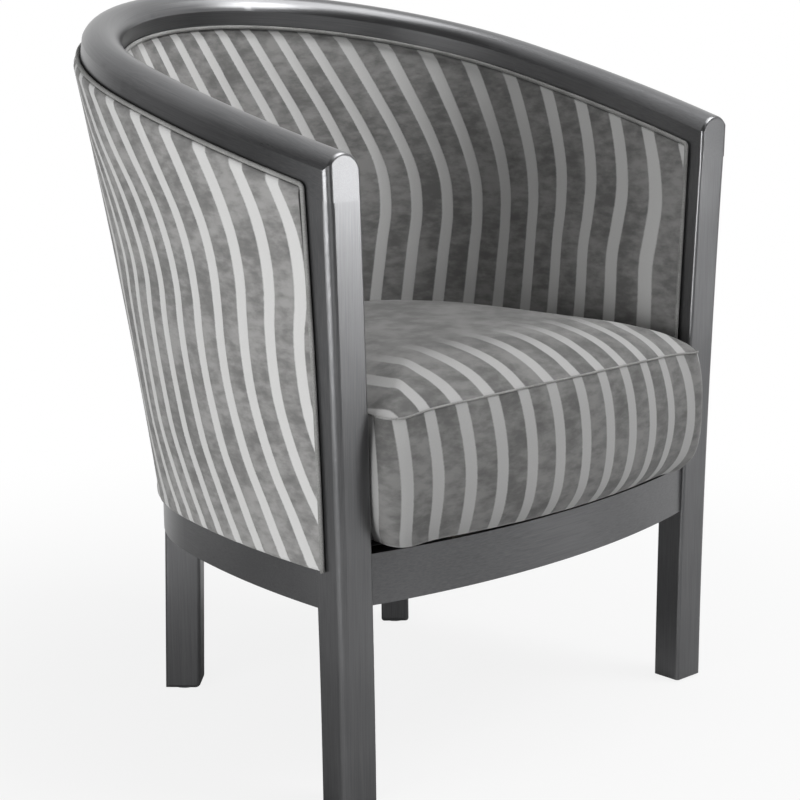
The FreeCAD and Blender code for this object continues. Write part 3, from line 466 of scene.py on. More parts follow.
def grid_faces(rows, columns, closed_rows=False, closed_columns=False):
    faces = []
    for row in range(rows if closed_rows else rows - 1):
        for column in range(columns if closed_columns else columns - 1):
            above = (row + 1) % rows
            beside = (column + 1) % columns
            faces.append((
                row * columns + column, row * columns + beside,
                above * columns + beside, above * columns + column,
            ))
    return faces


def tube(name, path, radius, around=12):
    """A round cord along a path, with flat ends."""
    path = np.asarray(path, float)
    steps = np.gradient(path, axis=0)
    steps /= np.linalg.norm(steps, axis=1)[:, None]
    side = np.cross(steps[0], (0.3, 0.5, 0.8))
    points = []
    for spot, step in zip(path, steps):
        side = side - step * side.dot(step)
        side /= np.linalg.norm(side)
        over = np.cross(step, side)
        for turn in range(around):
            angle = 2 * math.pi * turn / around
            points.append(spot + (side * math.cos(angle) + over * math.sin(angle)) * radius)
    faces = grid_faces(len(path), around, closed_columns=True)
    faces.append(tuple(range(around))[::-1])
    faces.append(tuple(range(len(points) - around, len(points))))
    return new_piece(name, points, faces)


def path_length(path):
    return np.linalg.norm(np.diff(path, axis=0), axis=1).sum()


def spaced(length, step):
    """Distances from 0 to length at about the given step."""
    return np.linspace(0, length, max(2, int(round(length / step)) + 1))


# %% [markdown]
# ## Outside cover
#
# The outside of the barrel is one piece of cloth over thin wadding. It is pulled over the edge of
# the top rail and under its own hem at the seat rail, so its section turns in at both ends. The
# velvet's pile stands a little above the satin, and that relief is real geometry here.

# %% Outside cover
COVER_GIRTH = 1520.0
COVER_STEP = 2.2
COVER_THICKNESS = 0.8 * MM
PILE = 0.45
WELT_RADIUS = 2.4
SOFT_GAP = 0.3
WELT_ROOM = 2 * WELT_RADIUS + 2 * SOFT_GAP
OUTSIDE_FACE = 5.8
OUTSIDE_HEM = ((-11.0, 1.2), (-12.6, 2.0), (-13.2, 3.4), (-12.4, 4.9), (-10.0, 5.8), (-5.0, 6.0))
OUTSIDE_LAP = ((2.0, 5.6), (4.4, 4.8), (5.9, 3.6), (6.5, 2.2), (6.3, 1.2))
OUTSIDE_WRAP = 16.0
EDGE_DROP = 0.6
EDGE_WIDTH = 5.0
WALL_ROWS = 84


def cover_profile(hem, lap, face, first_row=0):
    """Rows up the wall as (share, lift, offset): hem, wall, then the lap on the rail."""
    rows = [(0.0, lift, offset) for lift, offset in hem]
    rows += [(step / WALL_ROWS, 0.0, face) for step in range(first_row, WALL_ROWS + 1)]
    rows += [(1.0, lift, offset) for lift, offset in lap]
    return rows


def make_cover(name, profile, cloth, columns, start_side, padded, wrap):
    """A cover from rows of points, from the post on start_side round to the other one.

    Its ends wrap forward on the posts' sides, and leave room there for the piping.
    """
    gap = WELT_ROOM - wrap
    points = []
    counts = []
    parts = np.linspace(0, 1, columns)
    outward = -1 if padded else 1
    for share, lift, offset in profile:
        level = Level(share, lift, pad_forward(share) if padded else 0.0)
        half = sum(level.lengths(offset, gap))
        distances = parts * 2 * half
        row = cloth.count(distances + gap, share + lift / WALL_HEIGHT)
        edge = np.minimum(distances, 2 * half - distances)
        faces_out = PILE * (1 - pale_band(row)) - EDGE_DROP * np.exp(-((edge / EDGE_WIDTH) ** 2))
        counts.extend(row)
        for distance, out in zip(distances, faces_out):
            side = start_side if distance <= half else -start_side
            from_post = min(distance, 2 * half - distance)
            points.append(level.point(from_post, offset + out * outward, gap, side))
    faces = [face[::-1] for face in grid_faces(len(profile), columns)]
    piece = new_piece(name, points, faces)
    counts = np.array(counts)[corner_points(piece)]
    keep_stripes(piece, np.column_stack((counts, np.ones_like(counts))))
    return piece


def thicken(piece, thickness, offset):
    """Gives a sheet its thickness, away from its face."""
    solid = piece.modifiers.new("thickness", "SOLIDIFY")
    solid.thickness = thickness
    solid.offset = offset
    solid.use_rim = True
    bpy.context.view_layer.objects.active = piece
    with bpy.context.temp_override(object=piece, active_object=piece):
        bpy.ops.object.modifier_apply(modifier=solid.name)


cover_columns = int(COVER_GIRTH / COVER_STEP)
outside_cover = make_cover(
    "outside_cover_cloth", cover_profile(OUTSIDE_HEM, OUTSIDE_LAP, OUTSIDE_FACE), outside_cloth,
    cover_columns, start_side=-1, padded=False, wrap=OUTSIDE_WRAP,
)
thicken(outside_cover, COVER_THICKNESS, -1)
print("outside cover", len(outside_cover.data.polygons), "faces")

# %% [markdown]
# ## Inside cover
#
# The inside is stretched over foam that is thickest low down at the back. Its lower edge goes out of
# sight between the padding and the deck, and its upper edge laps onto the rail under the piping.

# %% Inside cover
INSIDE_FACE = -(RAIL_WIDTH + 2 * SOFT_GAP + 1.6)
DECK_TOP = SEAT_TOP + 4.6
INSIDE_HEM = ((DECK_TOP - SEAT_TOP + 0.6, INSIDE_FACE + 0.6), (DECK_TOP - SEAT_TOP + 2.5, INSIDE_FACE))
INSIDE_LAP = ((2.0, INSIDE_FACE + 0.1), (4.4, INSIDE_FACE + 0.4), (6.3, INSIDE_FACE + 0.9))
INSIDE_WRAP = 22.0
ROWS_BELOW_DECK = 2

inside_cover = make_cover(
    "inside_cover_cloth", cover_profile(INSIDE_HEM, INSIDE_LAP, INSIDE_FACE, ROWS_BELOW_DECK),
    inside_cloth, cover_columns, start_side=1, padded=True, wrap=INSIDE_WRAP,
)
thicken(inside_cover, COVER_THICKNESS, -1)
print("inside cover", len(inside_cover.data.polygons), "faces")

# %% [markdown]
# ## Piping
#
# A thin cord covered in the same cloth hides where the covers meet the wood. It runs up one post,
# along the rail and down the other post, so it is one tube on each face of the wall.

# %% Welts
WELT_LIFT = 7.0 + WELT_RADIUS + SOFT_GAP
WELT_TURN = 4.0
WELT_LOW = -13.0
WELT_SPACING = 5.0
POST_STEPS = 40
PROUD_REACH = 20.0
TURN_STEPS = 4
post_proud = smooth_curve((0, 3.6), (0.25, 3.9), (0.5, 3.5), (0.75, 2.5), (1, 0.4))


def welt_path(offset, low_lift, padded, wrap):
    """Points up the right post, along the rail, and down the left post."""
    gap = WELT_RADIUS + SOFT_GAP - wrap
    corner = [math.radians(90 / TURN_STEPS * step) for step in range(TURN_STEPS + 1)]
    spots = [(0.0, low_lift, 0.0)]
    spots += [(step / POST_STEPS, 0.0, 0.0) for step in range(1, POST_STEPS + 1)]
    spots += [(1.0, lift, 0.0) for lift in (2.0, 4.0)]
    spots += [
        (1.0, WELT_LIFT - WELT_TURN + WELT_TURN * math.sin(turn), WELT_TURN * (1 - math.cos(turn)))
        for turn in corner
    ]
    half = sum(Level(1.0, WELT_LIFT).lengths(offset, gap))
    spots += [(1.0, WELT_LIFT, distance) for distance in spaced(half, WELT_SPACING)[2:]]
    right = []
    for share, lift, distance in spots:
        level = Level(share, lift, pad_forward(share) if padded else 0.0)
        proud = 0.0 if padded else post_proud(share) * math.exp(-((distance / PROUD_REACH) ** 2))
        right.append(level.point(distance, offset + proud, gap, 1))
    left = [point * np.array((-1, 1, 1)) for point in right[::-1][1:]]
    return right + left


outside_path = welt_path(WELT_RADIUS + SOFT_GAP, WELT_LOW, padded=False, wrap=OUTSIDE_WRAP)
inside_path = welt_path(
    -(RAIL_WIDTH + WELT_RADIUS + SOFT_GAP), DECK_TOP - SEAT_TOP + 1.0, padded=True, wrap=INSIDE_WRAP,
)
outside_welt = tube("outside_welt_cord", outside_path, WELT_RADIUS)
inside_welt = tube("inside_welt_cord", inside_path, WELT_RADIUS)
for path in (outside_path, inside_path):
    print("welt cord", round(path_length(path)), "mm long")

# %% [markdown]
# ## Seat cushion
#
# A loose cushion is a sewn bag filled tight: a top panel, a bottom panel and a border between two
# seams. It is built as such here. The outline is read off the CAD cushion by slicing it, the panels
# are laid out as patches inside it, and then a short cloth simulation blows the bag up with the
# seams held, so that the panels belly out between them as filled cloth does. A limit on each point's
# travel keeps it clear of the arms.

# %% Cushion outline
cushion_low, cushion_high = (np.array(corner) * 1000 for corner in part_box("cushion_cover"))
BORDER_HEIGHT = 150.0
CUSHION_SEAM = cushion_low[2] + BORDER_HEIGHT
CROWN_SWELL = 6.0
CUSHION_CROWN = cushion_high[2] - CUSHION_SEAM + CROWN_SWELL
FRONT_STEPS = 64
SIDE_STEPS = 56
CORNER_PLACE = (238.0, -291.0)
CORNER_PUFF = (9.0, -12.0)
CORNER_WIDTH = 20.0
SEAM_DROP = 11.0
SEAM_HALF_WIDTH = 245
SAME_SPOT = 0.05


def outline_at(node, height):
    """The outline of a node's solid at a height, in order round its middle, in millimetres."""
    shape = bmesh.new()
    shape.from_mesh(nodes[node].data)
    parts = shape.verts[:] + shape.edges[:] + shape.faces[:]
    cut = bmesh.ops.bisect_plane(shape, geom=parts, plane_co=(0, 0, height * MM), plane_no=(0, 0, 1))
    spots = np.array([item.co[:2] for item in cut["geom_cut"] if isinstance(item, bmesh.types.BMVert)])
    shape.free()
    spots *= 1000
    middle = (spots.min(axis=0) + spots.max(axis=0)) / 2
    angles = np.arctan2(*(spots - middle).T[::-1])
    ordered = spots[np.argsort(angles)]
    steps = np.linalg.norm(ordered - np.roll(ordered, 1, axis=0), axis=1)
    return ordered[steps > SAME_SPOT]


def resample(path, count):
    """Evenly spaced points along an open path."""
    steps = np.linalg.norm(np.diff(path, axis=0), axis=1)
    along = np.concatenate(([0], np.cumsum(steps)))
    wanted = np.linspace(0, along[-1], count + 1)
    return np.column_stack([np.interp(wanted, along, path[:, axis]) for axis in (0, 1)])


def between_corners(loop, start, end):
    """The part of a closed loop from one point number to another."""
    if end <= start:
        end += len(loop)
    return loop[np.arange(start, end + 1) % len(loop)]


loop = outline_at("cushion_foam", (cushion_low[2] + CUSHION_SEAM) / 2)
loop *= (cushion_high[0] - cushion_low[0]) / np.ptp(loop[:, 0])
for side in (-1, 1):
    corner = np.array((side * CORNER_PLACE[0], CORNER_PLACE[1]))
    near = np.exp(-np.sum((loop - corner) ** 2, axis=1) / (2 * CORNER_WIDTH ** 2))
    loop += near[:, None] * np.array((side * CORNER_PUFF[0], CORNER_PUFF[1]))
front_right, back_right, back_left, front_left = (
    int(np.argmax(loop @ np.array(way))) for way in ((1, -1), (1, 1), (-1, 1), (-1, -1))
)
front_edge = resample(between_corners(loop, front_left, front_right), FRONT_STEPS)
right_edge = resample(between_corners(loop, front_right, back_right), SIDE_STEPS)
back_edge = resample(between_corners(loop, back_right, back_left), FRONT_STEPS)
left_edge = resample(between_corners(loop, back_left, front_left), SIDE_STEPS)
print("cushion outline", len(loop), "points,", np.round(np.ptp(loop, axis=0), 1), "mm")

# %% [markdown]
# The panels are patches: each point is pulled evenly by the four edges round it, which is known as a
# Coons patch. Points near the edge rise steeply and the middle is almost flat, like a crown of foam.

# %% Cushion bag
CROWN_RUN = 32.0
BORDER_ROWS = 22
border_scale = smooth_curve(
    (0, 0.915), (0.05, 0.95), (0.13, 0.976), (0.28, 0.994), (0.5, 1), (0.85, 0.992), (1, 0.976),
)
cushion_middle = loop.mean(axis=0)


def patch(front, right, back, left):
    """Rows of points from the front edge to the back edge."""
    rows = []
    back = back[::-1]
    left = left[::-1]
    for j in range(SIDE_STEPS + 1):
        v = j / SIDE_STEPS
        row = []
        for i in range(FRONT_STEPS + 1):
            u = i / FRONT_STEPS
            sides = blend(front[i], back[i], v) + blend(left[j], right[j], u)
            corners = blend(blend(front[0], front[-1], u), blend(back[0], back[-1], u), v)
            row.append(sides - corners)
        rows.append(row)
    return np.array(rows).reshape(-1, 2)


def scaled(edge, scale):
    return cushion_middle + (edge - cushion_middle) * scale


def seam_height(flat):
    """The seam's height over a spot: full in the middle, lower towards the two sides."""
    return CUSHION_SEAM - SEAM_DROP * (flat[:, 0] / SEAM_HALF_WIDTH) ** 2


edges = (front_edge, right_edge, back_edge, left_edge)
rim = np.concatenate([edge[:-1] for edge in edges])
columns = FRONT_STEPS + 1
rim_numbers = (
    list(range(FRONT_STEPS))
    + [j * columns + FRONT_STEPS for j in range(SIDE_STEPS)]
    + [SIDE_STEPS * columns + i for i in range(FRONT_STEPS, 0, -1)]
    + [j * columns for j in range(SIDE_STEPS, 0, -1)]
)
top_flat = patch(*(scaled(edge, border_scale(1)) for edge in edges))
low_flat = patch(*(scaled(edge, border_scale(0)) for edge in edges))
seam_rim = scaled(rim, border_scale(1))
edge_away = np.array([np.linalg.norm(seam_rim - spot, axis=1).min() for spot in top_flat])
top_height = seam_height(top_flat) + CUSHION_CROWN * (1 - np.exp(-edge_away / CROWN_RUN))
top_points = np.column_stack((top_flat, top_height))
low_points = np.column_stack((low_flat, np.full(len(low_flat), cushion_low[2])))
points = np.concatenate((top_points, low_points))
faces = grid_faces(SIDE_STEPS + 1, columns)
low_start = len(top_points)
faces += [tuple(number + low_start for number in face[::-1]) for face in faces]
rows = [[low_start + number for number in rim_numbers]]
for row in range(1, BORDER_ROWS):
    share = row / BORDER_ROWS
    rows.append([len(points) + step for step in range(len(rim))])
    height = blend(cushion_low[2], seam_height(rim), share)
    points = np.concatenate((points, np.column_stack((scaled(rim, border_scale(share)), height))))
rows.append(rim_numbers)
border_start = len(faces)
for below, above in zip(rows, rows[1:]):
    for step in range(len(rim)):
        after = (step + 1) % len(rim)
        faces.append((below[step], below[after], above[after], above[step]))
cushion = new_piece("seat_cushion", points, faces)
print("cushion bag", len(points), "points", len(faces), "faces")

# %% [markdown]
# Stripes run up the border, one after the other along its length, with a shallow belly. They carry
# on over the front seam and straight back across the top, where the worn pile hides them. The top
# and the border count separately, because they are separate pieces of cloth.

# %% Cushion stripes
CUSHION_PITCH = 41.6
CUSHION_FIRST = 12.0
BELLY_TOP = -11.0
BELLY_LOW = -7.0
BELLY_HEIGHT = 0.45
LOW_CLEAR = 0.8
FADE_START = 45.0
FADE_END = 150.0

rim_steps = np.linalg.norm(np.roll(rim, -1, axis=0) - rim, axis=1)
around = np.concatenate(([0], np.cumsum(rim_steps)[:-1]))
around = around - np.interp(0.0, front_edge[:, 0], around[:FRONT_STEPS + 1])
around[around > around.max() / 2] -= rim_steps.sum()
around_front = around[:FRONT_STEPS + 1]


def belly(share):
    """How far a border stripe has moved sideways at a share of the border's height."""
    above = np.maximum(share - BELLY_HEIGHT, 0) / (1 - BELLY_HEIGHT)
    below = np.maximum(BELLY_HEIGHT - share, 0) / BELLY_HEIGHT
    return BELLY_TOP * above ** 2 + BELLY_LOW * below ** 2


def top_stripes(flat):
    """Stripe counts and clearness on the top panel."""
    across = np.interp(flat[:, 0], front_edge[:, 0], around_front)
    front = np.interp(flat[:, 0], front_edge[:, 0], front_edge[:, 1])
    behind = np.maximum(flat[:, 1] - front, 0)
    clear = 1 - rise(FADE_START, FADE_END, behind)
    return np.column_stack(((across - belly(1.0) - CUSHION_FIRST) / CUSHION_PITCH, clear))


top_uv = top_stripes(top_flat)
low_uv = np.column_stack((low_flat[:, 0] / CUSHION_PITCH, np.full(len(low_flat), LOW_CLEAR)))
panel_uv = np.concatenate((top_uv, low_uv))
corner_uv = [panel_uv[number] for face in faces[:border_start] for number in face]
for row in range(BORDER_ROWS):
    shares = (row / BORDER_ROWS, (row + 1) / BORDER_ROWS)
    for step in range(len(rim)):
        ends = (around[step], around[step] + rim_steps[step])
        for end, share in ((0, 0), (1, 0), (1, 1), (0, 1)):
            count = (ends[end] - belly(shares[share]) - CUSHION_FIRST) / CUSHION_PITCH
            corner_uv.append((count, 1.0))
keep_stripes(cushion, corner_uv)
print("cushion border has", round(rim_steps.sum() / CUSHION_PITCH, 1), "stripes")

# %% [markdown]
# The filling pushes the cloth out between the seams. That bulge could be modelled by hand, but cloth
# under pressure finds it by itself and swells most where a panel is widest. The seams and the bottom
# are held, and twenty frames are enough for the rest to settle.

# %% Blow up the cushion
CUSHION_PRESSURE = 4.0
CUSHION_FRAMES = 20
CUSHION_SWELL = 4 * MM


def coordinates(piece):
    values = np.empty(len(piece.data.vertices) * 3)
    piece.data.vertices.foreach_get("co", values)
    return values.reshape(-1, 3)


def blow_up(piece, held):
    """Swells a closed mesh as pressed cloth with some points held, and limits each point's travel."""
    rest = coordinates(piece)
    group = piece.vertex_groups.new(name="held")
    group.add(held, 1.0, "REPLACE")
    cloth = piece.modifiers.new("cloth", "CLOTH")
    cloth.settings.vertex_group_mass = group.name
    cloth.settings.use_pressure = True
    cloth.settings.uniform_pressure_force = CUSHION_PRESSURE
    cloth.settings.effector_weights.gravity = 0
    cloth.settings.tension_stiffness = 15
    cloth.settings.compression_stiffness = 15
    cloth.settings.bending_stiffness = 0.5
    cloth.settings.quality = 5
    cloth.point_cache.frame_end = CUSHION_FRAMES
    for number in range(1, CUSHION_FRAMES + 1):
        bpy.context.scene.frame_set(number)
    shaped = piece.evaluated_get(bpy.context.evaluated_depsgraph_get())
    swollen = np.empty(len(shaped.data.vertices) * 3)
    shaped.data.vertices.foreach_get("co", swollen)
    piece.modifiers.remove(cloth)
    bpy.context.scene.frame_set(1)
    move = swollen.reshape(-1, 3) - rest
    length = np.linalg.norm(move, axis=1)[:, None]
    move *= np.minimum(1, CUSHION_SWELL / np.maximum(length, 1e-9))
    piece.data.vertices.foreach_set("co", (rest + move).ravel())
    piece.data.update()
    return float(np.linalg.norm(move, axis=1).max())


held = rows[0] + rows[-1] + list(range(low_start, low_start + len(low_points)))
swell = blow_up(cushion, held)
print("cushion swelled up to", round(swell * 1000, 1), "mm")

# %% [markdown]
# The two seams stay as creases when the bag is smoothed. A fine rolled edge of cloth lies along the
# upper one, which is the one that shows.

# %% Cushion seams
SEAM_ROLL = 1.3
SEAM_CREASE = 0.7


def crease(piece, loops, amount):
    """Keeps loops of edges sharp under subdivision."""
    wanted = set()
    for numbers in loops:
        wanted |= {tuple(sorted(pair)) for pair in zip(numbers, numbers[1:] + numbers[:1])}
    layer = piece.data.attributes.new("crease_edge", "FLOAT", "EDGE")
    ends = np.empty(len(piece.data.edges) * 2, dtype=np.int32)
    piece.data.edges.foreach_get("vertices", ends)
    pairs = np.sort(ends.reshape(-1, 2), axis=1)
    values = [amount if tuple(pair) in wanted else 0.0 for pair in pairs.tolist()]
    layer.data.foreach_set("value", values)


crease(cushion, (rows[0], rows[-1]), SEAM_CREASE)
smooth = cushion.modifiers.new("smooth", "SUBSURF")
smooth.levels = 1
smooth.render_levels = 1
with bpy.context.temp_override(object=cushion, active_object=cushion):
    bpy.ops.object.modifier_apply(modifier=smooth.name)
seam_path = np.column_stack((seam_rim, seam_height(seam_rim)))
seam_path = np.concatenate((seam_path, seam_path[:1]))
cushion_seam = tube("cushion_seam_roll", seam_path, SEAM_ROLL, around=8)
print("cushion seam roll", round(path_length(seam_path)), "mm long")

# %% [markdown]
# ## Deck cloth and dust cloth
#
# Under the cushion lies a black deck cloth over the webbing, and another black cloth closes the seat
# frame from below. Both are flat sheets cut to the seat frame and tacked along their edges.

# %% Deck and dust cloth
POST_EDGE = 252.4
POST_CLEAR = 3.0
FRONT_REACH = 48.5
FRONT_END_REACH = 15.0
FRONT_SAG = FRONT_REACH - FRONT_END_REACH
BOW_RADIUS = (POST_EDGE ** 2 + FRONT_SAG ** 2) / (2 * FRONT_SAG)
BOW_Y = POST_Y - FRONT_REACH + BOW_RADIUS
FRONT_INSET = 13.0
DECK_INSET = 27.3
DECK_THICKNESS = 1.0 * MM
DUST_INSET = 13.0
DUST_DROP = 0.8
DUST_SAG = 4.0
RIM_SPACING = 12.0
BOW_POINTS = 41
SHEET_RINGS = 26
INNER_RING = 0.04


def seat_outline(inset, front_inset):
    """The edge of a cloth over the seat frame, notched round the posts."""
    level = Level(0.0)
    arm, back = level.lengths(-inset, SOFT_GAP)
    half = arm + back
    right = [level.point(distance, -inset, SOFT_GAP, 1) for distance in spaced(half, RIM_SPACING)]
    left = [point * np.array((-1, 1, 1)) for point in right[::-1][1:]]
    clear = POST_EDGE - POST_CLEAR
    notch_y = right[0][1] + (right[0][0] - clear) * math.tan(POST_TURN)
    reach = BOW_RADIUS - front_inset
    front = [
        np.array((x, BOW_Y - math.sqrt(reach ** 2 - x ** 2), 0))
        for x in np.linspace(-clear, clear, BOW_POINTS)
    ]
    notch = np.array((clear, notch_y, 0))
    return right + left + [notch * np.array((-1, 1, 1))] + front + [notch]


def cloth_sheet(name, outline, height, sag):
    """A cloth of rings from its edge to its middle, sagging by sag in the middle."""
    edge = np.array(outline)
    middle = edge.mean(axis=0)
    points = []
    rings = np.linspace(1, INNER_RING, SHEET_RINGS)
    for scale in rings:
        ring = middle + (edge - middle) * scale
        ring[:, 2] = height - sag * (1 - scale ** 2)
        points.extend(ring)
    faces = grid_faces(len(rings), len(edge), closed_columns=True)
    last = len(points) - len(edge)
    faces.append(tuple(range(last, len(points))))
    return new_piece(name, points, faces)


deck = cloth_sheet("deck_cloth_sheet", seat_outline(DECK_INSET, FRONT_INSET), DECK_TOP, 0.0)
thicken(deck, DECK_THICKNESS, 0)
dust_outline = seat_outline(DUST_INSET, FRONT_INSET)
dust = cloth_sheet("dust_cloth_sheet", dust_outline, SEAT_BOTTOM - DUST_DROP, DUST_SAG)
thicken(dust, COVER_THICKNESS, 0)
print("deck and dust cloth", len(deck.data.polygons), "and", len(dust.data.polygons), "faces")

# %% [markdown]
# ## Pewter lacquer
#
# The show wood is lacquered in a dark pewter grey and brushed along its length, so it reads as a
# satin metal with fine streaks. Streaks need the direction of each bar: up the posts and legs, along
# the front rail and the arms, and round the two circles of the curved rails.

# %% Wood finish
PEWTER_DARK = (0.128, 0.129, 0.132)
PEWTER_PALE = (0.176, 0.177, 0.181)
GRAIN_STRETCH = 0.012
CURVE_STRETCH = 0.0035


def grain_up(finish):
    x, y, z = finish.place()
    return finish.vector(x, y, z * GRAIN_STRETCH)


def grain_across(finish):
    x, y, z = finish.place()
    return finish.vector(x * GRAIN_STRETCH, y, z)


def grain_depth(finish):
    """Grain that runs along the arms, which tip with the rail."""
    x, y, z = finish.place()
    along = y * math.cos(RAIL_TILT) + z * math.sin(RAIL_TILT)
    over = z * math.cos(RAIL_TILT) - y * math.sin(RAIL_TILT)
    return finish.vector(x, over, along * GRAIN_STRETCH)


def grain_round(centre_y, centre_z, tilt):
    """Grain that runs round a circle about a tilted axis."""
    def coordinates_of(finish):
        x, y, z = finish.place()
        away = (y - centre_y * MM) * math.cos(tilt) + (z - centre_z * MM) * math.sin(tilt)
        over = (z - centre_z * MM) * math.cos(tilt) - (y - centre_y * MM) * math.sin(tilt)
        radius = ((x * x) + (away * away)).maths("SQRT")
        angle = finish.maths("ARCTAN2", away, x)
        return finish.vector(radius, over, angle * CURVE_STRETCH)

    return coordinates_of


def pewter(name, grain):
    finish = new_finish(name)
    along = grain(finish)
    fine = finish.noise(along, scale=900, detail=3, roughness=0.65)
    cloud = finish.noise(finish.point(), scale=7, detail=2, roughness=0.5)
    colour = finish.mix((fine * 0.6 + cloud * 0.4).between(0.3, 0.7), PEWTER_DARK, PEWTER_PALE)
    rough = (fine * 0.4 + cloud * 0.6).spread(0.24, 0.36)
    bump = finish.bump(fine, distance=0.00005, strength=0.4)
    return finish.surface(Base_Color=colour, Metallic=0.95, Roughness=rough, Normal=bump)


seat_circle = grain_round(POST_Y + SEAT_CENTRE_RUN, SEAT_TOP, 0.0)
rail_circle = grain_round(POST_Y + RAIL_CENTRE_RUN, RAIL_CENTRE_HEIGHT, RAIL_TILT)
pewter_up = pewter("pewter_lacquer_up", grain_up)
pewter_across = pewter("pewter_lacquer_across", grain_across)
pewter_seat = pewter("pewter_lacquer_seat_curve", seat_circle)
pewter_rail = pewter("pewter_lacquer_top_curve", rail_circle)

pewter_arm = pewter("pewter_lacquer_arm", grain_depth)
for side in ("left", "right"):
    paint(nodes[f"front_post_{side}"], pewter_up)
    paint(nodes[f"rear_leg_{side}"], pewter_up)
    paint(nodes[f"arm_rail_{side}"], pewter_arm)
    paint(nodes[f"side_seat_rail_{side}"], pewter_seat)
paint(nodes["back_top_rail"], pewter_rail)
paint(nodes["back_seat_rail"], pewter_seat)
paint(nodes["front_seat_rail"], pewter_across)
print("lacquer brushed in five directions, base tone", PEWTER_DARK, "to", PEWTER_PALE)

# %% [markdown]
# ## Striped velvet
#
# One shader makes both bands: the stripe count's fraction chooses between them, with an edge that is
# ragged by the pile. The velvet is mottled where it has been stroked both ways, the satin is smoother
# and paler with a fine rib. Sheen gives the soft bright rim of pile seen edge on.

# %% Velvet finish
VELVET_DARK = (0.128, 0.127, 0.125)
VELVET_PALE = (0.240, 0.238, 0.234)
SATIN_DARK = (0.45, 0.45, 0.446)
SATIN_PALE = (0.56, 0.56, 0.555)
RAGGED = 0.05
STRIPE_BLUR = 0.025


# Painted light and shade: this factor scales a weave's colour up to paint a piece lighter, and down to
# paint it darker, for how light falls on that piece.
def painted_light_tone(tone, painted_light_factor):
    return tuple(part * painted_light_factor for part in tone)


def striped_velvet(name, fading, velvet_painted_light, satin_painted_light):
    """Striped cloth whose stripes may fade out, and whose two weaves are scaled in colour as painted light
    and painted shade.
    """
    finish = new_finish(name)
    x, y, z = finish.place()
    point = finish.point()
    ragged = finish.noise(point, scale=700, detail=2, roughness=0.6)
    count, clear = finish.stripes()
    count = count + (ragged - 0.5) * RAGGED
    away = (count - count.maths("ROUND")).maths("ABSOLUTE")
    velvet = away.between(PALE_SHARE / 2 - STRIPE_BLUR, PALE_SHARE / 2 + STRIPE_BLUR)
    if fading:
        velvet = 1 - (1 - velvet) * clear
    crushed = finish.noise(finish.vector(x, y, z * 2.2), scale=48, detail=4, roughness=0.6)
    patches = finish.noise(point, scale=16, detail=2, roughness=0.5)
    stroke = (crushed * 0.55 + patches * 0.45).between(0.36, 0.64)
    pile = finish.noise(point, scale=1800, detail=1, roughness=0.5)
    dark = finish.mix(stroke, painted_light_tone(VELVET_DARK, velvet_painted_light), painted_light_tone(VELVET_PALE, velvet_painted_light))
    pale = finish.mix(pile, painted_light_tone(SATIN_DARK, satin_painted_light), painted_light_tone(SATIN_PALE, satin_painted_light))
    colour = finish.mix(velvet, pale, dark)
    rough = velvet.spread(0.62, 0.92)
    height = velvet * 0.5 + pile * 0.35 + crushed * 0.3
    bump = finish.bump(height, distance=0.0006, strength=0.6)
    return finish.surface(
        Base_Color=colour, Roughness=rough, Normal=bump, Sheen_Weight=0.25, Sheen_Roughness=0.4,
        Specular_IOR_Level=0.2,
    )


# Painted light and shade on copies of one velvet: the outside's velvet is painted lighter, the inside's
# satin a little darker, and both weaves on the cushion much darker.
outside_velvet_painted_light = striped_velvet("striped_velvet_outside_painted_light", fading=False, velvet_painted_light=1.12, satin_painted_light=1.0)
inside_velvet_painted_shade = striped_velvet("striped_velvet_inside_painted_shade", fading=False, velvet_painted_light=1.0, satin_painted_light=0.96)
cushion_velvet_painted_shade = striped_velvet("striped_velvet_cushion_painted_shade", fading=True, velvet_painted_light=0.72, satin_painted_light=0.62)
for velvet in (outside_velvet_painted_light, inside_velvet_painted_shade, cushion_velvet_painted_shade):
    print(velvet.name, len(velvet.node_tree.nodes), "nodes")

# %% [markdown]
# ## Cloths, timber and steel out of sight
#
# The hidden pieces show only when the cushion is out or a solid is looked at alone, so simple
# finishes are enough: two noises for a weave, one stretched along the grain for timber, and one for
# the rubbed zinc on screws and glides.


# %% Hidden finishes
def plain_cloth(name, dark, pale, weave):
    finish = new_finish(name)
    point = finish.point()
    thread = finish.noise(point, scale=weave, detail=2, roughness=0.6)
    patch = finish.noise(point, scale=30, detail=2, roughness=0.5)
    colour = finish.mix((thread * 0.6 + patch * 0.4).between(0.35, 0.65), dark, pale)
    bump = finish.bump(thread, distance=0.0004, strength=0.6)
    return finish.surface(Base_Color=colour, Roughness=thread.spread(0.75, 0.95), Normal=bump)


def timber(name, dark, pale):
    finish = new_finish(name)
    x, y, z = finish.place()
    figure = finish.noise(finish.vector(x, y, z * 0.06), scale=120, detail=3, roughness=0.6)
    colour = finish.mix(figure.between(0.35, 0.65), dark, pale)
    return finish.surface(Base_Color=colour, Roughness=figure.spread(0.55, 0.75))


def plated_steel(name):
    finish = new_finish(name)
    rub = finish.noise(finish.point(), scale=220, detail=3, roughness=0.6)
    colour = finish.mix(rub, (0.42, 0.42, 0.43), (0.62, 0.62, 0.63))
    return finish.surface(Base_Color=colour, Metallic=1.0, Roughness=rub.spread(0.25, 0.45))


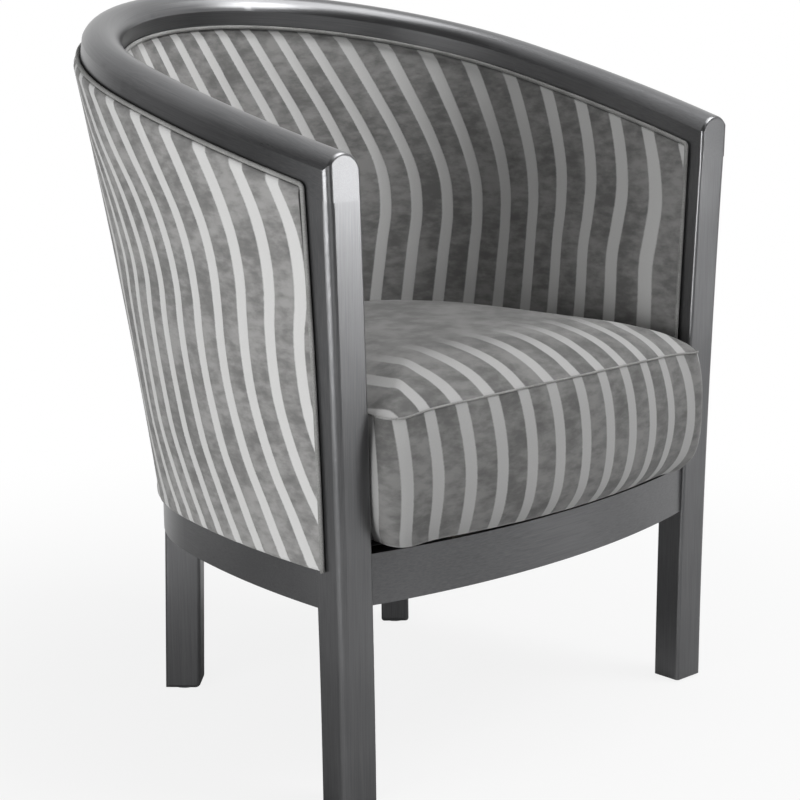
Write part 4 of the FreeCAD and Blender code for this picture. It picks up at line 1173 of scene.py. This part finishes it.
welt_cloth = plain_cloth("welt_cloth", (0.16, 0.16, 0.155), (0.27, 0.27, 0.265), 900)
black_cloth = plain_cloth("black_cloth", (0.010, 0.010, 0.011), (0.024, 0.024, 0.026), 1400)
web_cloth = plain_cloth("web_cloth", (0.030, 0.026, 0.022), (0.070, 0.060, 0.050), 700)
soft_fill = plain_cloth("soft_fill", (0.62, 0.60, 0.50), (0.74, 0.72, 0.62), 350)
beech = timber("sawn_beech", (0.36, 0.24, 0.13), (0.52, 0.37, 0.22))
hardboard = timber("bent_hardboard", (0.17, 0.11, 0.065), (0.24, 0.16, 0.10))
steel = plated_steel("zinc_plated_steel")
for finish in (welt_cloth, black_cloth, web_cloth, soft_fill, beech, hardboard, steel):
    print(finish.name, len(finish.node_tree.nodes), "nodes")

# %% [markdown]
# Each new piece takes one finish. The CAD nodes are sorted by name, so that a frame with more blocks
# or uprights would still be painted in full.

# %% Paint the pieces
for piece, material in (
    (outside_cover, outside_velvet_painted_light), (inside_cover, inside_velvet_painted_shade), (cushion, cushion_velvet_painted_shade),
    (cushion_seam, welt_cloth), (outside_welt, welt_cloth), (inside_welt, welt_cloth),
    (deck, black_cloth), (dust, black_cloth),
):
    paint(piece, material)
for name, node in nodes.items():
    if "upright" in name or name.startswith("corner_block") or name == "frame_dowels":
        paint(node, beech)
    elif name.endswith("_board"):
        paint(node, hardboard)
    elif name.startswith("seat_webbing"):
        paint(node, web_cloth)
    elif name in ("inside_back_foam", "cushion_foam", "outside_wadding"):
        paint(node, soft_fill)
for name in ("corner_block_screws", "foot_glides"):
    paint(nodes[name], steel)
print("bare nodes", [name for name, node in nodes.items() if not node.material_slots])

# %% [markdown]
# ## Riding and standing in
#
# Every piece rides on a body of the CAD model, so it moves with it, and the CAD solids it stands
# for are hidden. The cushion is the only body that moves.

# %% Bind the pieces to the frame
def one_face(piece):
    """The area of one face of a thickened sheet, in square metres."""
    return sum(face.area for face in piece.data.polygons) / 2


for piece, slot, replaced in (
    (outside_cover, "striped_velvet", ("outside_cover", "outside_wadding")),
    (inside_cover, "striped_velvet", ("inside_cover", "inside_back_foam")),
    (outside_welt, "welt_cloth", ("outside_welt",)),
    (inside_welt, "welt_cloth", ("inside_welt",)),
    (deck, "black_cloth", ("seat_deck",)),
    (dust, "black_cloth", ("dust_cloth",)),
):
    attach(piece, "frame")
    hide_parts(*replaced)
frame_rails = ["front_seat_rail", "side_seat_rail_left", "side_seat_rail_right", "back_seat_rail"]
for piece, flat, under in (
    (outside_cover, (1.52, 0.48), ["outside_board", "front_post_left", "front_post_right"]),
    (inside_cover, (1.44, 0.45), ["inside_board", "front_post_left", "front_post_right"]),
    (deck, (0.55, 0.53), frame_rails),
    (dust, (0.58, 0.55), frame_rails),
):
    print(piece.name, "cut from", flat, "m, area", round(one_face(piece), 3))
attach(cushion, "cushion")
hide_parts("cushion_cover", "cushion_foam")
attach(cushion_seam, "cushion")

# %% [markdown]
# ## Studio
#
# A white room with a bright backdrop behind the chair and a dimmer side to the left and the front,
# which is what makes the lacquer's faces differ. The floor is pale, takes a soft shadow near the
# chair and runs out into white. A long window stands low on the left, two more lamps light the inside
# from the right and from above, and two low strips are there to be mirrored in the left post.

# %% Floor, world and lamps
FLOOR_SIZE = 120.0
FLOOR_DROP = 0.0005
FLOOR_GREY = 0.5
FLOOR_WHITE = (0.86, 1.0)
SHADOW_REACH = (0.3, 1.3)
BACKDROP_EDGE = (-0.2, 0.9)
ROOM_GLOW = (0.08, 0.34)
RAY_NAMES = ("Is Camera Ray", "Is Transmission Ray", "Is Glossy Ray")


def white_share(finish, seen, mirrored):
    """How white a backdrop is to the camera, directly or through glass, and in a mirror."""
    camera, through, glossy = [finish.add("ShaderNodeLightPath", out=name) for name in RAY_NAMES]
    return ((camera + through) * seen + glossy * mirrored).maths("MINIMUM", 1.0)


def towards_backdrop(x, y, z):
    """1 in the direction of the backdrop, behind the chair to the right, and 0 away from it."""
    return (x * 0.75 + y * 0.66 + z * 0.5).between(*BACKDROP_EDGE)


def white_floor():
    finish = new_finish("pale_floor")
    x, y, z = finish.place()
    distance = (x * x + y * y).maths("SQRT")
    away = distance.between(*SHADOW_REACH)
    backdrop = towards_backdrop(x / distance, y / distance, z)
    lit = finish.add("ShaderNodeBsdfDiffuse", None, {"Color": (FLOOR_GREY, FLOOR_GREY, FLOOR_GREY, 1)})
    white = finish.add("ShaderNodeEmission", None, {"Color": (1, 1, 1, 1), "Strength": 1.0})
    share = white_share(finish, away.spread(*FLOOR_WHITE), away * backdrop)
    floor_shader = finish.add("ShaderNodeMixShader", None, {0: share, 1: lit, 2: white})
    finish.add("ShaderNodeOutputMaterial", None, {"Surface": floor_shader})
    return finish.holder


half_floor = FLOOR_SIZE * 1000 / 2
floor_corners = [(-half_floor, -half_floor, 0), (half_floor, -half_floor, 0),
                 (half_floor, half_floor, 0), (-half_floor, half_floor, 0)]
floor = new_piece("floor", floor_corners, [(0, 1, 2, 3)], smooth=False)
floor.location.z = -FLOOR_DROP
paint(floor, white_floor())


def white_room():
    sky = Finish(bpy.data.worlds.new("white_room"))
    way = sky.add("ShaderNodeTexCoord", out="Generated")
    backdrop = towards_backdrop(*sky.split(way))
    room = backdrop.spread(*ROOM_GLOW)
    strength = room + white_share(sky, 1.0, backdrop) * (1 - room)
    glow = sky.add("ShaderNodeBackground", None, {"Color": (1, 1, 1, 1), "Strength": strength})
    sky.add("ShaderNodeOutputWorld", None, {"Surface": glow})
    return sky.holder


bpy.context.scene.world = white_room()


def soft_lamp(name, place, aim, size, watts):
    lamp = bpy.data.lights.new(name, "AREA")
    lamp.shape = "RECTANGLE"
    lamp.size, lamp.size_y = size
    lamp.energy = watts
    holder = bpy.data.objects.new(name, lamp)
    holder.location = place
    holder.rotation_euler = (Vector(aim) - Vector(place)).to_track_quat("-Z", "Y").to_euler()
    holder.visible_camera = False
    bpy.context.scene.collection.objects.link(holder)
    print(name, watts, "W")


soft_lamp("left_window", (-2.7, -0.6, 0.62), aim=(0, -0.1, 0.5), size=(2.0, 0.9), watts=63)
soft_lamp("low_strip", (-1.3, -3.0, 0.3), aim=(-0.29, -0.28, 0.6), size=(1.6, 0.25), watts=5)
soft_lamp("right_strip", (1.8, -2.4, 0.4), aim=(-0.27, -0.27, 0.6), size=(0.5, 0.5), watts=13)
soft_lamp("right_window", (1.0, -1.6, 2.4), aim=(0, 0.1, 0.5), size=(1.2, 1.2), watts=46)
soft_lamp("top_window", (0.6, -0.4, 2.6), aim=(0, 0, 0.5), size=(1.5, 1.5), watts=30)
bpy.context.scene.view_settings.view_transform = "Standard"
